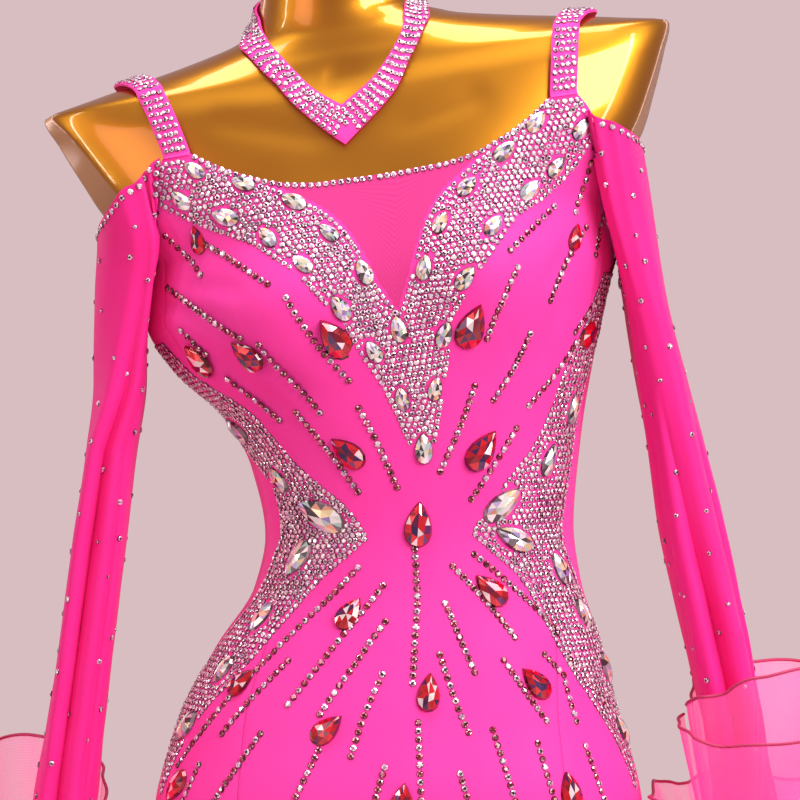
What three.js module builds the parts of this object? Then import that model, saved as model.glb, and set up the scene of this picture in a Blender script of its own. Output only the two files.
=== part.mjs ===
// A ballroom dance gown on a limbless dress form with a pole stand. Millimetres, +Z up.
// The gown faces -Y and its left and right are the viewer's, so "right" is +X.
// The origin is the centre of the stand base's underside.
//
// Cloth pieces are thin closed walls. Each follows a smooth surface: the bodice and straps
// follow the form, and the sleeves, cuffs and skirt follow sections of their own.
import * as THREE from 'three';

const degree = Math.PI / 180;

// Cloth sizes.
const clothWall = 1.2;         // wall of every cloth piece
const clothClear = 3.6;        // from the form to the inside of the cloth
const seamGap = 0.3;           // between neighbouring pieces at a seam
const hipSeam = 862;           // height where the bodice ends and the skirt begins
const armholeCorner = 1300;    // height where the princess seams reach the armhole
const gownTurn = 1;            // the gown sits this many degrees round on the form

// Stand sizes.
const baseRadius = 210;
const baseThick = 12;
const baseEdge = 4;
const poleRadius = 16;
const flangeRadius = 60;
const flangeThick = 8;
const touchGap = 0.3;          // between stand pieces that rest on each other

// Form sizes: its lowest section, the neck's top and the cap.
const formBottom = 800;
const neckTop = 1480;
const capThick = 8;
const formColumns = 52;
const latheColumns = 36;
const lowRing = 831;           // a ring of the form between its bottom and the hip seam

// The form's sections, from the hips to the neck. height is measured along the spine,
// shift moves the section across, lean raises its +X side in degrees, half is the half
// width, front and back are the depths, and square is the power of its superellipse.
const sectionColumns = ['height', 'shift', 'lean', 'half', 'front', 'back', 'square'];
const sectionTable = [
  [800, 0, 0, 150, 100, 104, 2.2],
  [850, 0, 0, 163, 103, 113, 2.2],
  [909, -1, 0.5, 158, 103, 112, 2.2],
  [963, -1, 1, 143, 95, 102, 2.2],
  [1013, 5, 1.5, 124, 86, 88, 2.2],
  [1054, 11.5, 2, 104.5, 79, 75, 2.15],
  [1090, 13, 2.5, 98.5, 77, 71, 2.1],
  [1143, 11, 6, 106, 82, 77, 2.1],
  [1184, 5.5, 8, 119.5, 88, 85, 2.15],
  [1224, -8, 9, 142.5, 92, 92, 2.2],
  [1254, -13, 9, 154, 91, 95, 2.2],
  [1287, -13, 9, 152.5, 86, 97, 2.25],
  [1306, -14.5, 9, 164, 82, 96, 2.35],
  [1327, -17.5, 9, 182, 77, 93, 2.6],
  [1350, -21, 9, 193, 71, 88, 2.8],
  [1378, -25.5, 9, 205, 62, 77, 2.8],
  [1397, -29, 9, 212, 54, 64, 2.5],
  [1404, -30, 9, 183, 52, 60, 2.2],
  [1410, -31, 9, 151, 50, 57, 2.1],
  [1418, -33.5, 9, 107, 48, 53, 2],
  [1426, -37.5, 9, 72, 46, 50, 2],
  [1438, -41.5, 6, 54, 45, 49, 2],
  [1460, -42.5, 3, 50, 46, 49, 2],
  [1486, -42.5, 0, 50, 46, 49, 2],
];
const bust = { height: 1252, across: 70, out: 17, wide: 46, below: 40, above: 54 };

// Heights of the form's own rings; the bodice panels use those between hip and armhole.
const panelHeights = [
  862, 900, 945, 990, 1030, 1065, 1095, 1125, 1158, 1188, 1212, 1232, 1250, 1268, 1284, 1300,
];
const shoulderHeights = [
  1320, 1340, 1360, 1378, 1390, 1398, 1404, 1410, 1418, 1426, 1438, 1458, 1480,
];

// Edges of the gown, as [degrees round from the gown's front centre, height].
const neckline = through([
  [0, 1321.5], [9, 1322.5], [14.8, 1326], [19.2, 1332.5], [25, 1344], [29.6, 1355],
]);
const armholeFront = through([
  [37, 1355], [42.6, 1342.5], [49, 1324], [57.5, 1312], [66, armholeCorner],
]);
const armholeUnder = through([
  [66, armholeCorner], [78, 1276], [92, 1266], [108, 1278], [124, armholeCorner],
]);
const armholeBack = through([[124, armholeCorner], [134, 1322], [143, 1350]]);
const backNeck = through([[150.4, 1350], [153, 1336], [160, 1255], [170, 1195], [180, 1178]]);
// The V in the bodice front: its two sides rise from its point to the neckline.
const vTurn = 1.8;
const vHalf = 19.2;
const vLeft = through([
  [-vHalf, 1332.5], [-16, 1324.5], [-12.8, 1314], [-10, 1303.5], [-7.5, 1292], [-3.3, 1270],
  [-0.7, 1251], [vTurn, 1234],
]);
const vRight = through([
  [vTurn, 1234], [4.6, 1259], [7.6, 1284], [10.1, 1302], [12.9, 1313.5],
  [15.3, 1322.5], [vHalf, 1332.5],
]);
const insetHalf = 15.4;        // the inset ends this far round
const insetGap = 2.4;          // between the inset and the V's edge

// Princess seams, as [height, degrees round from the gown's centre].
const frontSeam = through([[862, 38], [920, 40], [1012, 47], [1090, 56], [1170, 64], [1200, 66]]);
const backSeam = through([[862, 136], [1012, 131], [1100, 127], [1200, 124]]);

// Straps: [share of the way over the shoulder, distance across from the spine].
const strapAcross = through([[0, 127.2], [0.18, 136.5], [0.45, 154.5], [0.62, 152], [1, 134]]);
const strapShift = 2.5;        // the gown's turn carries both strap fronts this far to +X
const strapMiddle = 33.3;      // degrees round to the middle of a strap's foot
const strapWidth = 17.5;
const strapProud = 0.3;        // straps are this much thicker than the bodice
const strapHub = { height: 1357, depth: 10, reach: 160 };
const strapFrom = 0;           // degrees above level, seen from the hub inside the shoulder
const strapTo = 183;

// The choker lies between two edges, as [degrees round the neck from its point, height].
const chokerLower = through([
  [0, 1345], [27, 1375], [41, 1397], [55, 1416], [80, 1431], [125, 1441], [180, 1443],
]);
const chokerUpper = through([
  [0, 1371], [20, 1387], [37, 1408], [50, 1424], [67, 1437], [95, 1448], [140, 1460], [180, 1462],
]);
const chokerTurn = -6;         // the choker sits this far round on the neck
const chokerPull = { turn: -6, wide: 25 };   // and its point is pulled this much further
const chokerClear = 2.2;       // from the neck to the inside of the choker
const chokerWall = 1.4;

// Sleeves. centre is the distance out from the middle plane, half and depth the section's
// half sizes across and front to back, and middle its place front to back, all by height.
// tilt is how far the section's front edge leans towards the body, by height.
const sleeves = {
  left: {
    side: -1,
    end: 816,
    rows: [
      [816, 233, 21, 27, -14], [909, 223, 19.5, 33, -14], [997, 211, 17.5, 37, -14],
      [1084, 200, 17, 40, -13], [1143, 192.5, 15.5, 42, -12], [1190, 187, 15.5, 43, -11],
      [1250, 187, 14.5, 52, -8], [1286, 183, 18, 61, -4], [1340, 178, 26, 64, -4],
    ],
    rim: [[0, 1286], [45, 1298], [90, 1317], [120, 1336], [140, 1250], [180, 1240],
      [220, 1246], [240, 1256], [270, 1304], [315, 1300], [360, 1286]],
    tilt: [[1143, 0], [1205, 5], [1265, 9], [1300, 4], [1325, 0]],
    near: 0.72,
  },
  right: {
    side: 1,
    end: 872,
    rows: [
      [872, 235, 21, 27, -14], [950, 224, 18, 33, -14], [1016, 211, 19.5, 36, -14],
      [1084, 196, 20, 39, -13], [1136, 185.5, 18, 41, -12], [1190, 174.5, 15.8, 43, -11],
      [1250, 163.3, 13.3, 52, -8], [1300, 154, 14.5, 61, -4], [1336, 147, 15.5, 64, -4],
      [1370, 140, 17, 64, -4],
    ],
    rim: [[0, 1347], [45, 1352], [90, 1360], [120, 1365], [140, 1268], [180, 1256],
      [220, 1262], [240, 1274], [270, 1330], [315, 1342], [360, 1347]],
    tilt: [[1136, 0], [1370, 0]],
    near: 1,
  },
};
const sleeveSquare = 3;
// Long soft folds: [degrees round the sleeve, depth, half width in degrees]. They fade out
// over the last stretch at the sleeve's end and below its rim.
const sleeveFolds = [[72, 5, 22], [158, 3, 20], [288, 6, 24]];
const foldFade = { end: 90, rim: 120, rimHeight: 1330 };

// Cuff tiers. reach is how far the rim stands out from the sleeve, rise its height above
// the sleeve's end, by degrees round: 0 outward, 90 front, 180 towards the body, 270 back.
const tiers = {
  upper: {
    clear: 0.4,
    reach: [[0, 66], [90, 27], [180, 25], [270, 30], [360, 66]],
    rise: [[0, 110], [90, 77], [180, 94], [270, 131], [360, 110]],
    bow: 0.85, waves: 5, swing: 6,
  },
  lower: {
    clear: 2.4,
    reach: [[0, 88], [90, 66], [180, 49], [270, 62], [360, 88]],
    rise: [[0, 40], [90, 40], [180, 44], [270, 50], [360, 40]],
    bow: 0.6, waves: 7, swing: 6,
  },
};
const cuffColumns = 26;
const cuffRows = 3;

// The skirt: six gores that flare from the hip seam to the hem in soft cone folds.
const hemHeight = 32;
const hemRadius = 470;
const flarePower = 1.35;
const foldCount = 14;
const foldDepth = 46;
const foldPower = 1.6;
const hipRadius = 150;         // about, where the gores' seams begin
const goreEdges = [-38, 38, 87, 136, 224, 273, 322];
const goreNames = [
  'skirt_front', 'skirt_side_front_right', 'skirt_side_back_right',
  'skirt_back', 'skirt_side_back_left', 'skirt_side_front_left',
];

// Finishes.
const pink = 0xff3ea0;
const meshPink = 0xee4390;
const organzaPink = 0xff9cc8;
const gold = 0xb8781e;
const finishes = {
  crepe: { color: pink, roughness: 0.55, metalness: 0 },
  mesh: { color: meshPink, roughness: 0.7, metalness: 0 },
  stones: { color: 0xe8c8d8, roughness: 0.25, metalness: 0.2 },
  organza: { color: organzaPink, roughness: 0.5, metalness: 0 },
  gold: { color: gold, roughness: 0.25, metalness: 1 },
};

// A smooth curve through the given points that never overshoots them: a cubic between each
// pair, with the harmonic mean of the two slopes at every inner point.
function through(points) {
  const xs = points.map((point) => point[0]);
  const ys = points.map((point) => point[1]);
  const last = xs.length - 1;
  const steps = xs.slice(1).map((x, i) => (ys[i + 1] - ys[i]) / (x - xs[i]));
  const slopes = xs.map((_, i) => {
    if (i === 0) return steps[0];
    if (i === last) return steps[last - 1];
    const product = steps[i - 1] * steps[i];
    return product > 0 ? 2 * product / (steps[i - 1] + steps[i]) : 0;
  });
  return (x) => {
    const at = Math.min(Math.max(x, xs[0]), xs[last]);
    let i = 0;
    while (i < last - 1 && at > xs[i + 1]) i += 1;
    const width = xs[i + 1] - xs[i];
    const t = (at - xs[i]) / width;
    const u = 1 - t;
    return ys[i] * (1 + 2 * t) * u * u + ys[i + 1] * t * t * (3 - 2 * t)
      + width * t * u * (slopes[i] * u - slopes[i + 1] * t);
  };
}

const section = Object.fromEntries(sectionColumns.slice(1).map((name, i) => [
  name, through(sectionTable.map((row) => [row[0], row[i + 1]])),
]));

function signedPower(value, power) {
  return Math.sign(value) * Math.abs(value) ** power;
}

// A point of the form's section plane, given across and deep, set in space.
function inSection(height, across, deep) {
  const lean = section.lean(height) * degree;
  return new THREE.Vector3(
    section.shift(height) + across * Math.cos(lean), deep, height + across * Math.sin(lean));
}

// The form's surface. turn is in degrees round from the front, towards +X.
function form(height, turn) {
  const power = 2 / section.square(height);
  const across = section.half(height) * signedPower(Math.sin(turn * degree), power);
  const facing = Math.cos(turn * degree);
  const depth = facing > 0 ? section.front(height) : section.back(height);
  let deep = -depth * signedPower(facing, power);
  if (facing > 0) {
    const tall = height < bust.height ? bust.below : bust.above;
    const lobes = Math.exp(-(((across - bust.across) / bust.wide) ** 2))
      + Math.exp(-(((across + bust.across) / bust.wide) ** 2));
    const swell = bust.out * Math.exp(-(((height - bust.height) / tall) ** 2));
    deep -= swell * lobes * facing ** 0.8;
  }
  return inSection(height, across, deep);
}

// One closed wall. at gives the surface for s across and t up, each from 0 to 1, and the
// wall's outer and inner sheets lie those distances out from it, with their edges joined.
function wall({ at, columns, rows, closed = false, inner, outer }) {
  const across = closed ? columns : columns + 1;
  const nudge = 1e-3;
  const sheets = [outer, inner].map((offset) => {
    const points = [];
    for (let j = 0; j <= rows; j += 1) {
      for (let i = 0; i < across; i += 1) {
        const s = i / columns;
        const t = j / rows;
        const sFrom = closed ? s - nudge : Math.max(s - nudge, 0);
        const sTo = closed ? s + nudge : Math.min(s + nudge, 1);
        const along = at(sTo, t).sub(at(sFrom, t));
        const up = at(s, Math.min(t + nudge, 1)).sub(at(s, Math.max(t - nudge, 0)));
        const normal = along.cross(up).normalize();
        points.push(at(s, t).addScaledVector(normal, offset));
      }
    }
    return points;
  });
  const count = across * (rows + 1);
  const index = (sheet, i, j) => sheet * count + j * across + (i % across);
  const faces = [];
  const quad = (a, b, c, d) => faces.push(a, b, c, a, c, d);
  for (let i = 0; i < columns; i += 1) {
    for (let j = 0; j < rows; j += 1) {
      quad(index(0, i, j), index(0, i + 1, j), index(0, i + 1, j + 1), index(0, i, j + 1));
      quad(index(1, i, j), index(1, i, j + 1), index(1, i + 1, j + 1), index(1, i + 1, j));
    }
    quad(index(1, i, 0), index(1, i + 1, 0), index(0, i + 1, 0), index(0, i, 0));
    quad(index(0, i, rows), index(0, i + 1, rows), index(1, i + 1, rows), index(1, i, rows));
  }
  if (!closed) {
    for (let j = 0; j < rows; j += 1) {
      quad(index(0, 0, j), index(0, 0, j + 1), index(1, 0, j + 1), index(1, 0, j));
      quad(index(1, columns, j), index(1, columns, j + 1),
        index(0, columns, j + 1), index(0, columns, j));
    }
  }
  return solid(sheets.flat(), faces);
}

function solid(points, faces) {
  const geometry = new THREE.BufferGeometry().setFromPoints(points);
  geometry.setIndex(faces);
  geometry.computeVertexNormals();
  return geometry;
}

// A closed solid through rings of the form, each a height, with flat ends.
function formSolid(heights) {
  const points = [];
  for (const height of heights) {
    for (let i = 0; i < formColumns; i += 1) points.push(form(height, i * 360 / formColumns));
  }
  const faces = [];
  for (let j = 0; j < heights.length - 1; j += 1) {
    for (let i = 0; i < formColumns; i += 1) {
      const next = (i + 1) % formColumns;
      const a = j * formColumns + i;
      const b = j * formColumns + next;
      faces.push(a, b, b + formColumns, a, b + formColumns, a + formColumns);
    }
  }
  const ends = [[0, -1], [heights.length - 1, 1]];
  for (const [ring, way] of ends) {
    const centre = points.length;
    points.push(inSection(heights[ring], 0, 0));
    for (let i = 0; i < formColumns; i += 1) {
      const a = ring * formColumns + i;
      const b = ring * formColumns + (i + 1) % formColumns;
      faces.push(...(way > 0 ? [centre, a, b] : [centre, b, a]));
    }
  }
  return solid(points, faces);
}

// A bodice panel between two seams (degrees round at a height) and two edges (heights at
// degrees round). Its rows share out the form's own ring heights. middle moves the middle
// column, which is the V's point on the front panel.
function bodicePanel({ from, to, bottom, top, columns, middle = 0 }) {
  const rows = panelHeights.length - 1;
  const share = through(panelHeights.map((height, j) => [
    j / rows, (height - hipSeam) / (armholeCorner - hipSeam)]));
  const pull = (height) => seamGap / 2 / section.half(height) / degree;
  const turnAt = (s, height) => {
    const low = from(height) + pull(height);
    const high = to(height) - pull(height);
    return low + s * (high - low) + 4 * s * (1 - s) * middle;
  };
  const at = (s, t) => {
    let highest = armholeCorner;
    for (let pass = 0; pass < 12; pass += 1) highest = top(turnAt(s, highest));
    let lowest = hipSeam;
    for (let pass = 0; pass < 12; pass += 1) lowest = bottom(turnAt(s, lowest));
    const height = lowest + share(t) * (highest - lowest);
    return form(height, turnAt(s, height) + gownTurn);
  };
  return wall({ at, columns, rows, inner: clothClear, outer: clothClear + clothWall });
}

function vEdge(turn) {
  return turn < vTurn ? vLeft(turn) : vRight(turn);
}

// The front panel's top edge: the V, then the neckline up to the strap, then the armhole.
function frontTop(turn) {
  const round = Math.abs(turn);
  if (round < vHalf) return vEdge(turn);
  if (round < strapMiddle) return neckline(round);
  return armholeFront(round);
}

// The back panel's top edge, by degrees round from the gown's back centre.
function backTop(turn) {
  const round = 180 - Math.abs(turn - 180);
  return round > 180 - strapMiddle ? backNeck(round) : armholeBack(round);
}

function bodice() {
  const hip = () => hipSeam + seamGap / 2;
  return {
    bodice_front: bodicePanel({
      from: (height) => -frontSeam(height), to: frontSeam, bottom: hip, top: frontTop, columns: 26,
      middle: vTurn,
    }),
    bodice_side_right: bodicePanel({
      from: frontSeam, to: backSeam, bottom: hip, top: armholeUnder, columns: 9,
    }),
    bodice_side_left: bodicePanel({
      from: (height) => -backSeam(height), to: (height) => -frontSeam(height),
      bottom: hip, top: (turn) => armholeUnder(-turn), columns: 9,
    }),
    bodice_back: bodicePanel({
      from: backSeam, to: (height) => 360 - backSeam(height), bottom: hip, top: backTop, columns: 14,
    }),
  };
}

// The mesh inset fills the V. Its lower edge keeps the seam's gap above the front panel.
function neckInset() {
  const rows = 5;
  const at = (s, t) => {
    const turn = insetHalf * (2 * s - 1) + 4 * s * (1 - s) * vTurn;
    const low = vEdge(turn) + insetGap;
    return form(low + t * (neckline(Math.abs(turn)) - low), turn + gownTurn);
  };
  return wall({ at, columns: 12, rows, inner: clothClear, outer: clothClear + clothWall });
}

// How far out the form's surface lies from the strap's hub, in the plane at one distance
// across, along a ray at the given angle. The ray's end is found by halving.
function overShoulder(across, angle) {
  const inside = (reach) => {
    const height = strapHub.height + reach * Math.sin(angle * degree);
    const deep = strapHub.depth - reach * Math.cos(angle * degree);
    const power = section.square(height);
    const depth = deep < 0 ? section.front(height) : section.back(height);
    return (Math.abs(across) / section.half(height)) ** power
      + (Math.abs(deep) / depth) ** power < 1;
  };
  let near = 0;
  let far = strapHub.reach;
  for (let pass = 0; pass < 30; pass += 1) {
    const middle = (near + far) / 2;
    if (inside(middle)) near = middle;
    else far = middle;
  }
  return inSection(strapHub.height + near * Math.sin(angle * degree), across,
    strapHub.depth - near * Math.cos(angle * degree));
}

function strap(side) {
  const at = (s, t) => {
    const across = side * strapAcross(t) + strapShift * (1 - t) + strapWidth * (s - 0.5);
    return overShoulder(across, strapFrom + t * (strapTo - strapFrom));
  };
  const outer = clothClear + clothWall + strapProud;
  return wall({ at, columns: 2, rows: 16, inner: clothClear, outer });
}

// Keeps a bearing off a whole right angle, where its tangent has no value.
const offSeam = 1e-4;

// The form's surface by true bearing round the spine, where form() goes by its section's own
// turn: the two agree on the point where the bearing's ray meets the section.
function formByBearing(height, bearing) {
  const facing = Math.cos(bearing * degree);
  const depth = facing > 0 ? section.front(height) : section.back(height);
  const ratio = Math.abs(Math.tan(bearing * degree)) * depth / section.half(height);
  const turn = Math.atan(ratio ** (section.square(height) / 2)) / degree;
  const side = Math.sin(bearing * degree) < 0 ? -1 : 1;
  return form(height, side * (facing > 0 ? turn : 180 - turn));
}

function choker() {
  const at = (s, t) => {
    const round = 360 * s - 180;
    const low = chokerLower(Math.abs(round));
    const high = chokerUpper(Math.abs(round));
    const pull = chokerPull.turn * Math.exp(-((round / chokerPull.wide) ** 2));
    return formByBearing(low + t * (high - low), round + chokerTurn + pull + offSeam);
  };
  const outer = chokerClear + chokerWall;
  return wall({ at, columns: 28, rows: 3, closed: true, inner: chokerClear, outer });
}

// A sleeve's surface: round goes from outward (0) to the front (90), the body (180) and the
// back (270). The surface is a superellipse at each height, dented by long soft folds, and
// its front half leans in by the square of the way to its front edge.
function sleeveSurface(sleeve) {
  const [centre, half, depth, middle] = [1, 2, 3, 4].map((column) => (
    through(sleeve.rows.map((row) => [row[0], row[column]]))));
  const tilt = through(sleeve.tilt);
  return (height, round) => {
    const angle = round * degree;
    const power = 2 / sleeveSquare;
    const dent = sleeveFolds.reduce((sum, [place, deep, wide]) => (
      sum + deep * Math.exp(-(((((round % 360) + 360) % 360 - place) / wide) ** 2))), 0);
    const below = Math.min(1, Math.max(0, (foldFade.rimHeight - height) / foldFade.rim));
    const fade = below * Math.min(1, (height - sleeve.end) / foldFade.end);
    const out = half(height) * signedPower(Math.cos(angle), power);
    const front = depth(height) * signedPower(Math.sin(angle), power);
    const scale = 1 - dent * fade / Math.hypot(out, front);
    const lean = tilt(height) * Math.max(0, front / depth(height)) ** 2;
    return new THREE.Vector3(sleeve.side * (centre(height) + out * scale - lean),
      middle(height) - front * scale, height);
  };
}

function sleeveWall(sleeve) {
  const surface = sleeveSurface(sleeve);
  const rim = through(sleeve.rim);
  const at = (s, t) => {
    const round = 360 * (sleeve.side > 0 ? 1 - s : s);
    const top = rim(((round % 360) + 360) % 360);
    return surface(sleeve.end + t * (top - sleeve.end), round);
  };
  return wall({ at, columns: 18, rows: 10, closed: true, inner: 0, outer: clothWall });
}

// One organza tier: from a ring round the sleeve's end it bows out and up to its rim, in
// waves that grow towards the rim.
function cuffTier(sleeve, tier) {
  const surface = sleeveSurface(sleeve);
  const reach = through(tier.reach);
  const rise = through(tier.rise);
  const at = (s, t) => {
    const turned = ((s % 1) + 1) % 1;
    const round = 360 * (sleeve.side > 0 ? 1 - turned : turned);
    const foot = surface(sleeve.end + 2, round);
    const centre = surface(sleeve.end + 2, 0).add(surface(sleeve.end + 2, 180)).divideScalar(2);
    const outward = foot.clone().sub(centre).normalize();
    const wave = tier.swing * t * Math.sin(tier.waves * round * degree + 0.6);
    const near = 1 + (sleeve.near - 1) * (1 - Math.cos(round * degree)) / 2;
    const out = tier.clear + clothWall + near * reach(round) * t ** tier.bow + wave;
    return foot.addScaledVector(outward, out).add(
      new THREE.Vector3(0, 0, rise(round) * t ** (1 / tier.bow) + wave * 0.4));
  };
  return wall({
    at, columns: cuffColumns, rows: cuffRows, closed: true, inner: 0, outer: 1,
  });
}

// The skirt's surface: share runs from the hip seam (0) to the hem (1).
function skirtSurface(share, turn) {
  const top = form(hipSeam, turn + gownTurn);
  const angle = (turn + gownTurn) * degree;
  const uneven = 1 + 0.18 * Math.sin(2 * angle + 0.7) + 0.12 * Math.sin(5 * angle);
  const wave = Math.cos(foldCount * angle + 0.5 * Math.sin(3 * angle));
  const fold = foldDepth * share ** foldPower * uneven * wave;
  const radius = hemRadius + fold;
  const flare = share ** flarePower;
  return new THREE.Vector3(
    top.x * (1 - flare) + radius * Math.sin(angle) * flare,
    top.y * (1 - flare) - radius * Math.cos(angle) * flare,
    hipSeam - seamGap / 2 - share * (hipSeam - hemHeight));
}

function gore(from, to) {
  const at = (s, t) => {
    const share = 1 - t;
    const pull = seamGap / 2 / (hipRadius + share * (hemRadius - hipRadius)) / degree;
    return skirtSurface(share, from + pull + s * (to - from - 2 * pull));
  };
  return wall({ at, columns: 11, rows: 6, inner: clothClear, outer: clothClear + clothWall });
}

function standBase() {
  const profile = [[0, 0], [baseRadius - baseEdge, 0], [baseRadius, baseEdge],
    [baseRadius, baseThick - baseEdge], [baseRadius - baseEdge, baseThick], [0, baseThick]];
  return turned(profile);
}

function standPole() {
  const bottom = baseThick + touchGap;
  const top = formBottom - touchGap;
  return turned([[0, bottom], [poleRadius, bottom], [poleRadius, top - flangeThick],
    [flangeRadius, top - flangeThick], [flangeRadius, top], [0, top]]);
}

// A lathe solid about the Z axis: the profile's pairs are radius and height.
function turned(profile) {
  const points = profile.map(([radius, height]) => new THREE.Vector2(radius, height));
  return new THREE.LatheGeometry(points, latheColumns).rotateX(Math.PI / 2);
}

const gown = new THREE.Group();

function add(name, geometry, finish) {
  const mesh = new THREE.Mesh(geometry, new THREE.MeshStandardMaterial(finishes[finish]));
  mesh.name = name;
  gown.add(mesh);
}

for (const [name, geometry] of Object.entries(bodice())) add(name, geometry, 'crepe');
add('neck_inset', neckInset(), 'mesh');
add('choker', choker(), 'stones');
for (const [name, sleeve] of Object.entries(sleeves)) {
  add(`strap_${name}`, strap(sleeve.side), 'stones');
  add(`sleeve_${name}`, sleeveWall(sleeve), 'crepe');
  for (const [level, tier] of Object.entries(tiers)) {
    add(`cuff_${name}_${level}`, cuffTier(sleeve, tier), 'organza');
  }
}
goreNames.forEach((name, i) => add(name, gore(goreEdges[i], goreEdges[i + 1]), 'crepe'));

add('form_torso', formSolid([formBottom, lowRing, ...panelHeights, ...shoulderHeights]), 'gold');
add('form_neck_cap', formSolid([neckTop + touchGap, neckTop + touchGap + capThick]), 'gold');
add('stand_pole', standPole(), 'gold');
add('stand_base', standBase(), 'gold');

export default gown;
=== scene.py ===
"""A ballroom dance gown on a limbless dress form.

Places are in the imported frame: the gown faces -Y, +Z is up, and left and right are the
viewer's. The surfaces are worked out in millimetres and become metres in make_piece().
"""

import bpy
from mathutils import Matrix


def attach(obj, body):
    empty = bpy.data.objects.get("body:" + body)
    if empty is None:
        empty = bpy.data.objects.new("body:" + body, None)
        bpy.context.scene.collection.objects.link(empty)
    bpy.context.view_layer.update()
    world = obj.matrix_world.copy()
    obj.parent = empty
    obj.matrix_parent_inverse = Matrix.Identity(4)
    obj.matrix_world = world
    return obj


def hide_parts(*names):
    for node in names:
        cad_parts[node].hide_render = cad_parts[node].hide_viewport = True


bl_info = {
    "name": "Ballroom dance gown",
    "version": (1, 0, 0),
    "blender": (4, 5, 0),
    "location": "View3D > Sidebar > Gown",
    "description": "Builds a stone-set dance gown on its dress form, with a plain studio",
    "category": "Add Mesh",
}

import bpy
import numpy as np
from bpy.props import FloatProperty, FloatVectorProperty, IntProperty, PointerProperty
from bpy.types import Operator, Panel, PropertyGroup
from mathutils import Vector

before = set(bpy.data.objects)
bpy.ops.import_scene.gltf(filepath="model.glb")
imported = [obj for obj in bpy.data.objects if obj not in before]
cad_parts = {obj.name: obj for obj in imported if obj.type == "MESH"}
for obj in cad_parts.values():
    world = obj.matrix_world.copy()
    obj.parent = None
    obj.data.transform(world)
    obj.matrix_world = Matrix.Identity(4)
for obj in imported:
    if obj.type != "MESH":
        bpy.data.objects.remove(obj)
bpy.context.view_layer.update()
MM = 0.001


# ---- Small helpers ---------------------------------------------------------------------


def linear(code):
    """Turns an sRGB hex colour into linear light: c / 12.92 where c is at most 0.04045,
    and ((c + 0.055) / 1.055) to the power 2.4 above that."""
    values = np.array([int(code[i:i + 2], 16) for i in (0, 2, 4)]) / 255
    curved = ((values + 0.055) / 1.055) ** 2.4
    return tuple(np.where(values <= 0.04045, values / 12.92, curved).tolist())


def through(points):
    """A curve through the points that never overshoots them: a cubic between each pair,
    whose slope at an inner point is the harmonic mean of the slopes on its two sides."""
    xs, ys = np.array(points, float).T
    steps = np.diff(ys) / np.diff(xs)
    product = steps[:-1] * steps[1:]
    same_way = product > 0
    inner = np.where(same_way, 2 * product / np.where(same_way, steps[:-1] + steps[1:], 1), 0)
    slopes = np.concatenate([steps[:1], inner, steps[-1:]])

    def curve(x):
        x = np.clip(x, xs[0], xs[-1])
        i = np.clip(np.searchsorted(xs, x, side="right") - 1, 0, len(xs) - 2)
        width = xs[i + 1] - xs[i]
        t = (x - xs[i]) / width
        u = 1 - t
        return (ys[i] * (1 + 2 * t) * u * u + ys[i + 1] * t * t * (3 - 2 * t)
                + width * t * u * (slopes[i] * u - slopes[i + 1] * t))

    return curve


def signed_power(value, power):
    return np.sign(value) * np.abs(value) ** power


def unit(vectors):
    return vectors / np.linalg.norm(vectors, axis=-1, keepdims=True)


def bell(distance, width):
    """1 at no distance, falling away smoothly over about the given width."""
    return np.exp(-(distance / width) ** 2)


# ---- The dress form and the surfaces that follow it --------------------------------------

# Sections of the form, from the hips to the neck. height is measured along the spine,
# shift moves the section across, lean raises its +X side in degrees, half is the half
# width, front and back are the depths, and square is the power of its superellipse.
SECTION_COLUMNS = ("height", "shift", "lean", "half", "front", "back", "square")
SECTIONS = (
    (800, 0, 0, 150, 100, 104, 2.2),
    (850, 0, 0, 163, 103, 113, 2.2),
    (909, -1, 0.5, 158, 103, 112, 2.2),
    (963, -1, 1, 143, 95, 102, 2.2),
    (1013, 5, 1.5, 124, 86, 88, 2.2),
    (1054, 11.5, 2, 104.5, 79, 75, 2.15),
    (1090, 13, 2.5, 98.5, 77, 71, 2.1),
    (1143, 11, 6, 106, 82, 77, 2.1),
    (1184, 5.5, 8, 119.5, 88, 85, 2.15),
    (1224, -8, 9, 142.5, 92, 92, 2.2),
    (1254, -13, 9, 154, 91, 95, 2.2),
    (1287, -13, 9, 152.5, 86, 97, 2.25),
    (1306, -14.5, 9, 164, 82, 96, 2.35),
    (1327, -17.5, 9, 182, 77, 93, 2.6),
    (1350, -21, 9, 193, 71, 88, 2.8),
    (1378, -25.5, 9, 205, 62, 77, 2.8),
    (1397, -29, 9, 212, 54, 64, 2.5),
    (1404, -30, 9, 183, 52, 60, 2.2),
    (1410, -31, 9, 151, 50, 57, 2.1),
    (1418, -33.5, 9, 107, 48, 53, 2),
    (1426, -37.5, 9, 72, 46, 50, 2),
    (1438, -41.5, 6, 54, 45, 49, 2),
    (1460, -42.5, 3, 50, 46, 49, 2),
    (1486, -42.5, 0, 50, 46, 49, 2),
)
SECTION = {
    name: through([(row[0], row[i + 1]) for row in SECTIONS])
    for i, name in enumerate(SECTION_COLUMNS[1:])
}
BUST = {"height": 1252, "across": 70, "out": 17, "wide": 46, "below": 40, "above": 54,
        "soften": 0.8}

FORM_BOTTOM = 800
NECK_TOP = 1480
CAP_GAP = 0.3
# Rings of the neck's cap: height above its underside, and scale.
CAP_RINGS = ((0, 0.97), (0, 1), (1.2, 1), (5.5, 1), (7.2, 0.985), (8, 0.94), (8, 0.4))
FORM_COLUMNS = 240

CLOTH_INSIDE = 3.6         # from the form to the inside of the cloth
CLOTH_OUTSIDE = 4.8
SEAM_GAP = 0.3
HIP_SEAM = 862
ARMHOLE_CORNER = 1300
GOWN_TURN = 1              # the gown sits this many degrees round on the form

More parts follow.
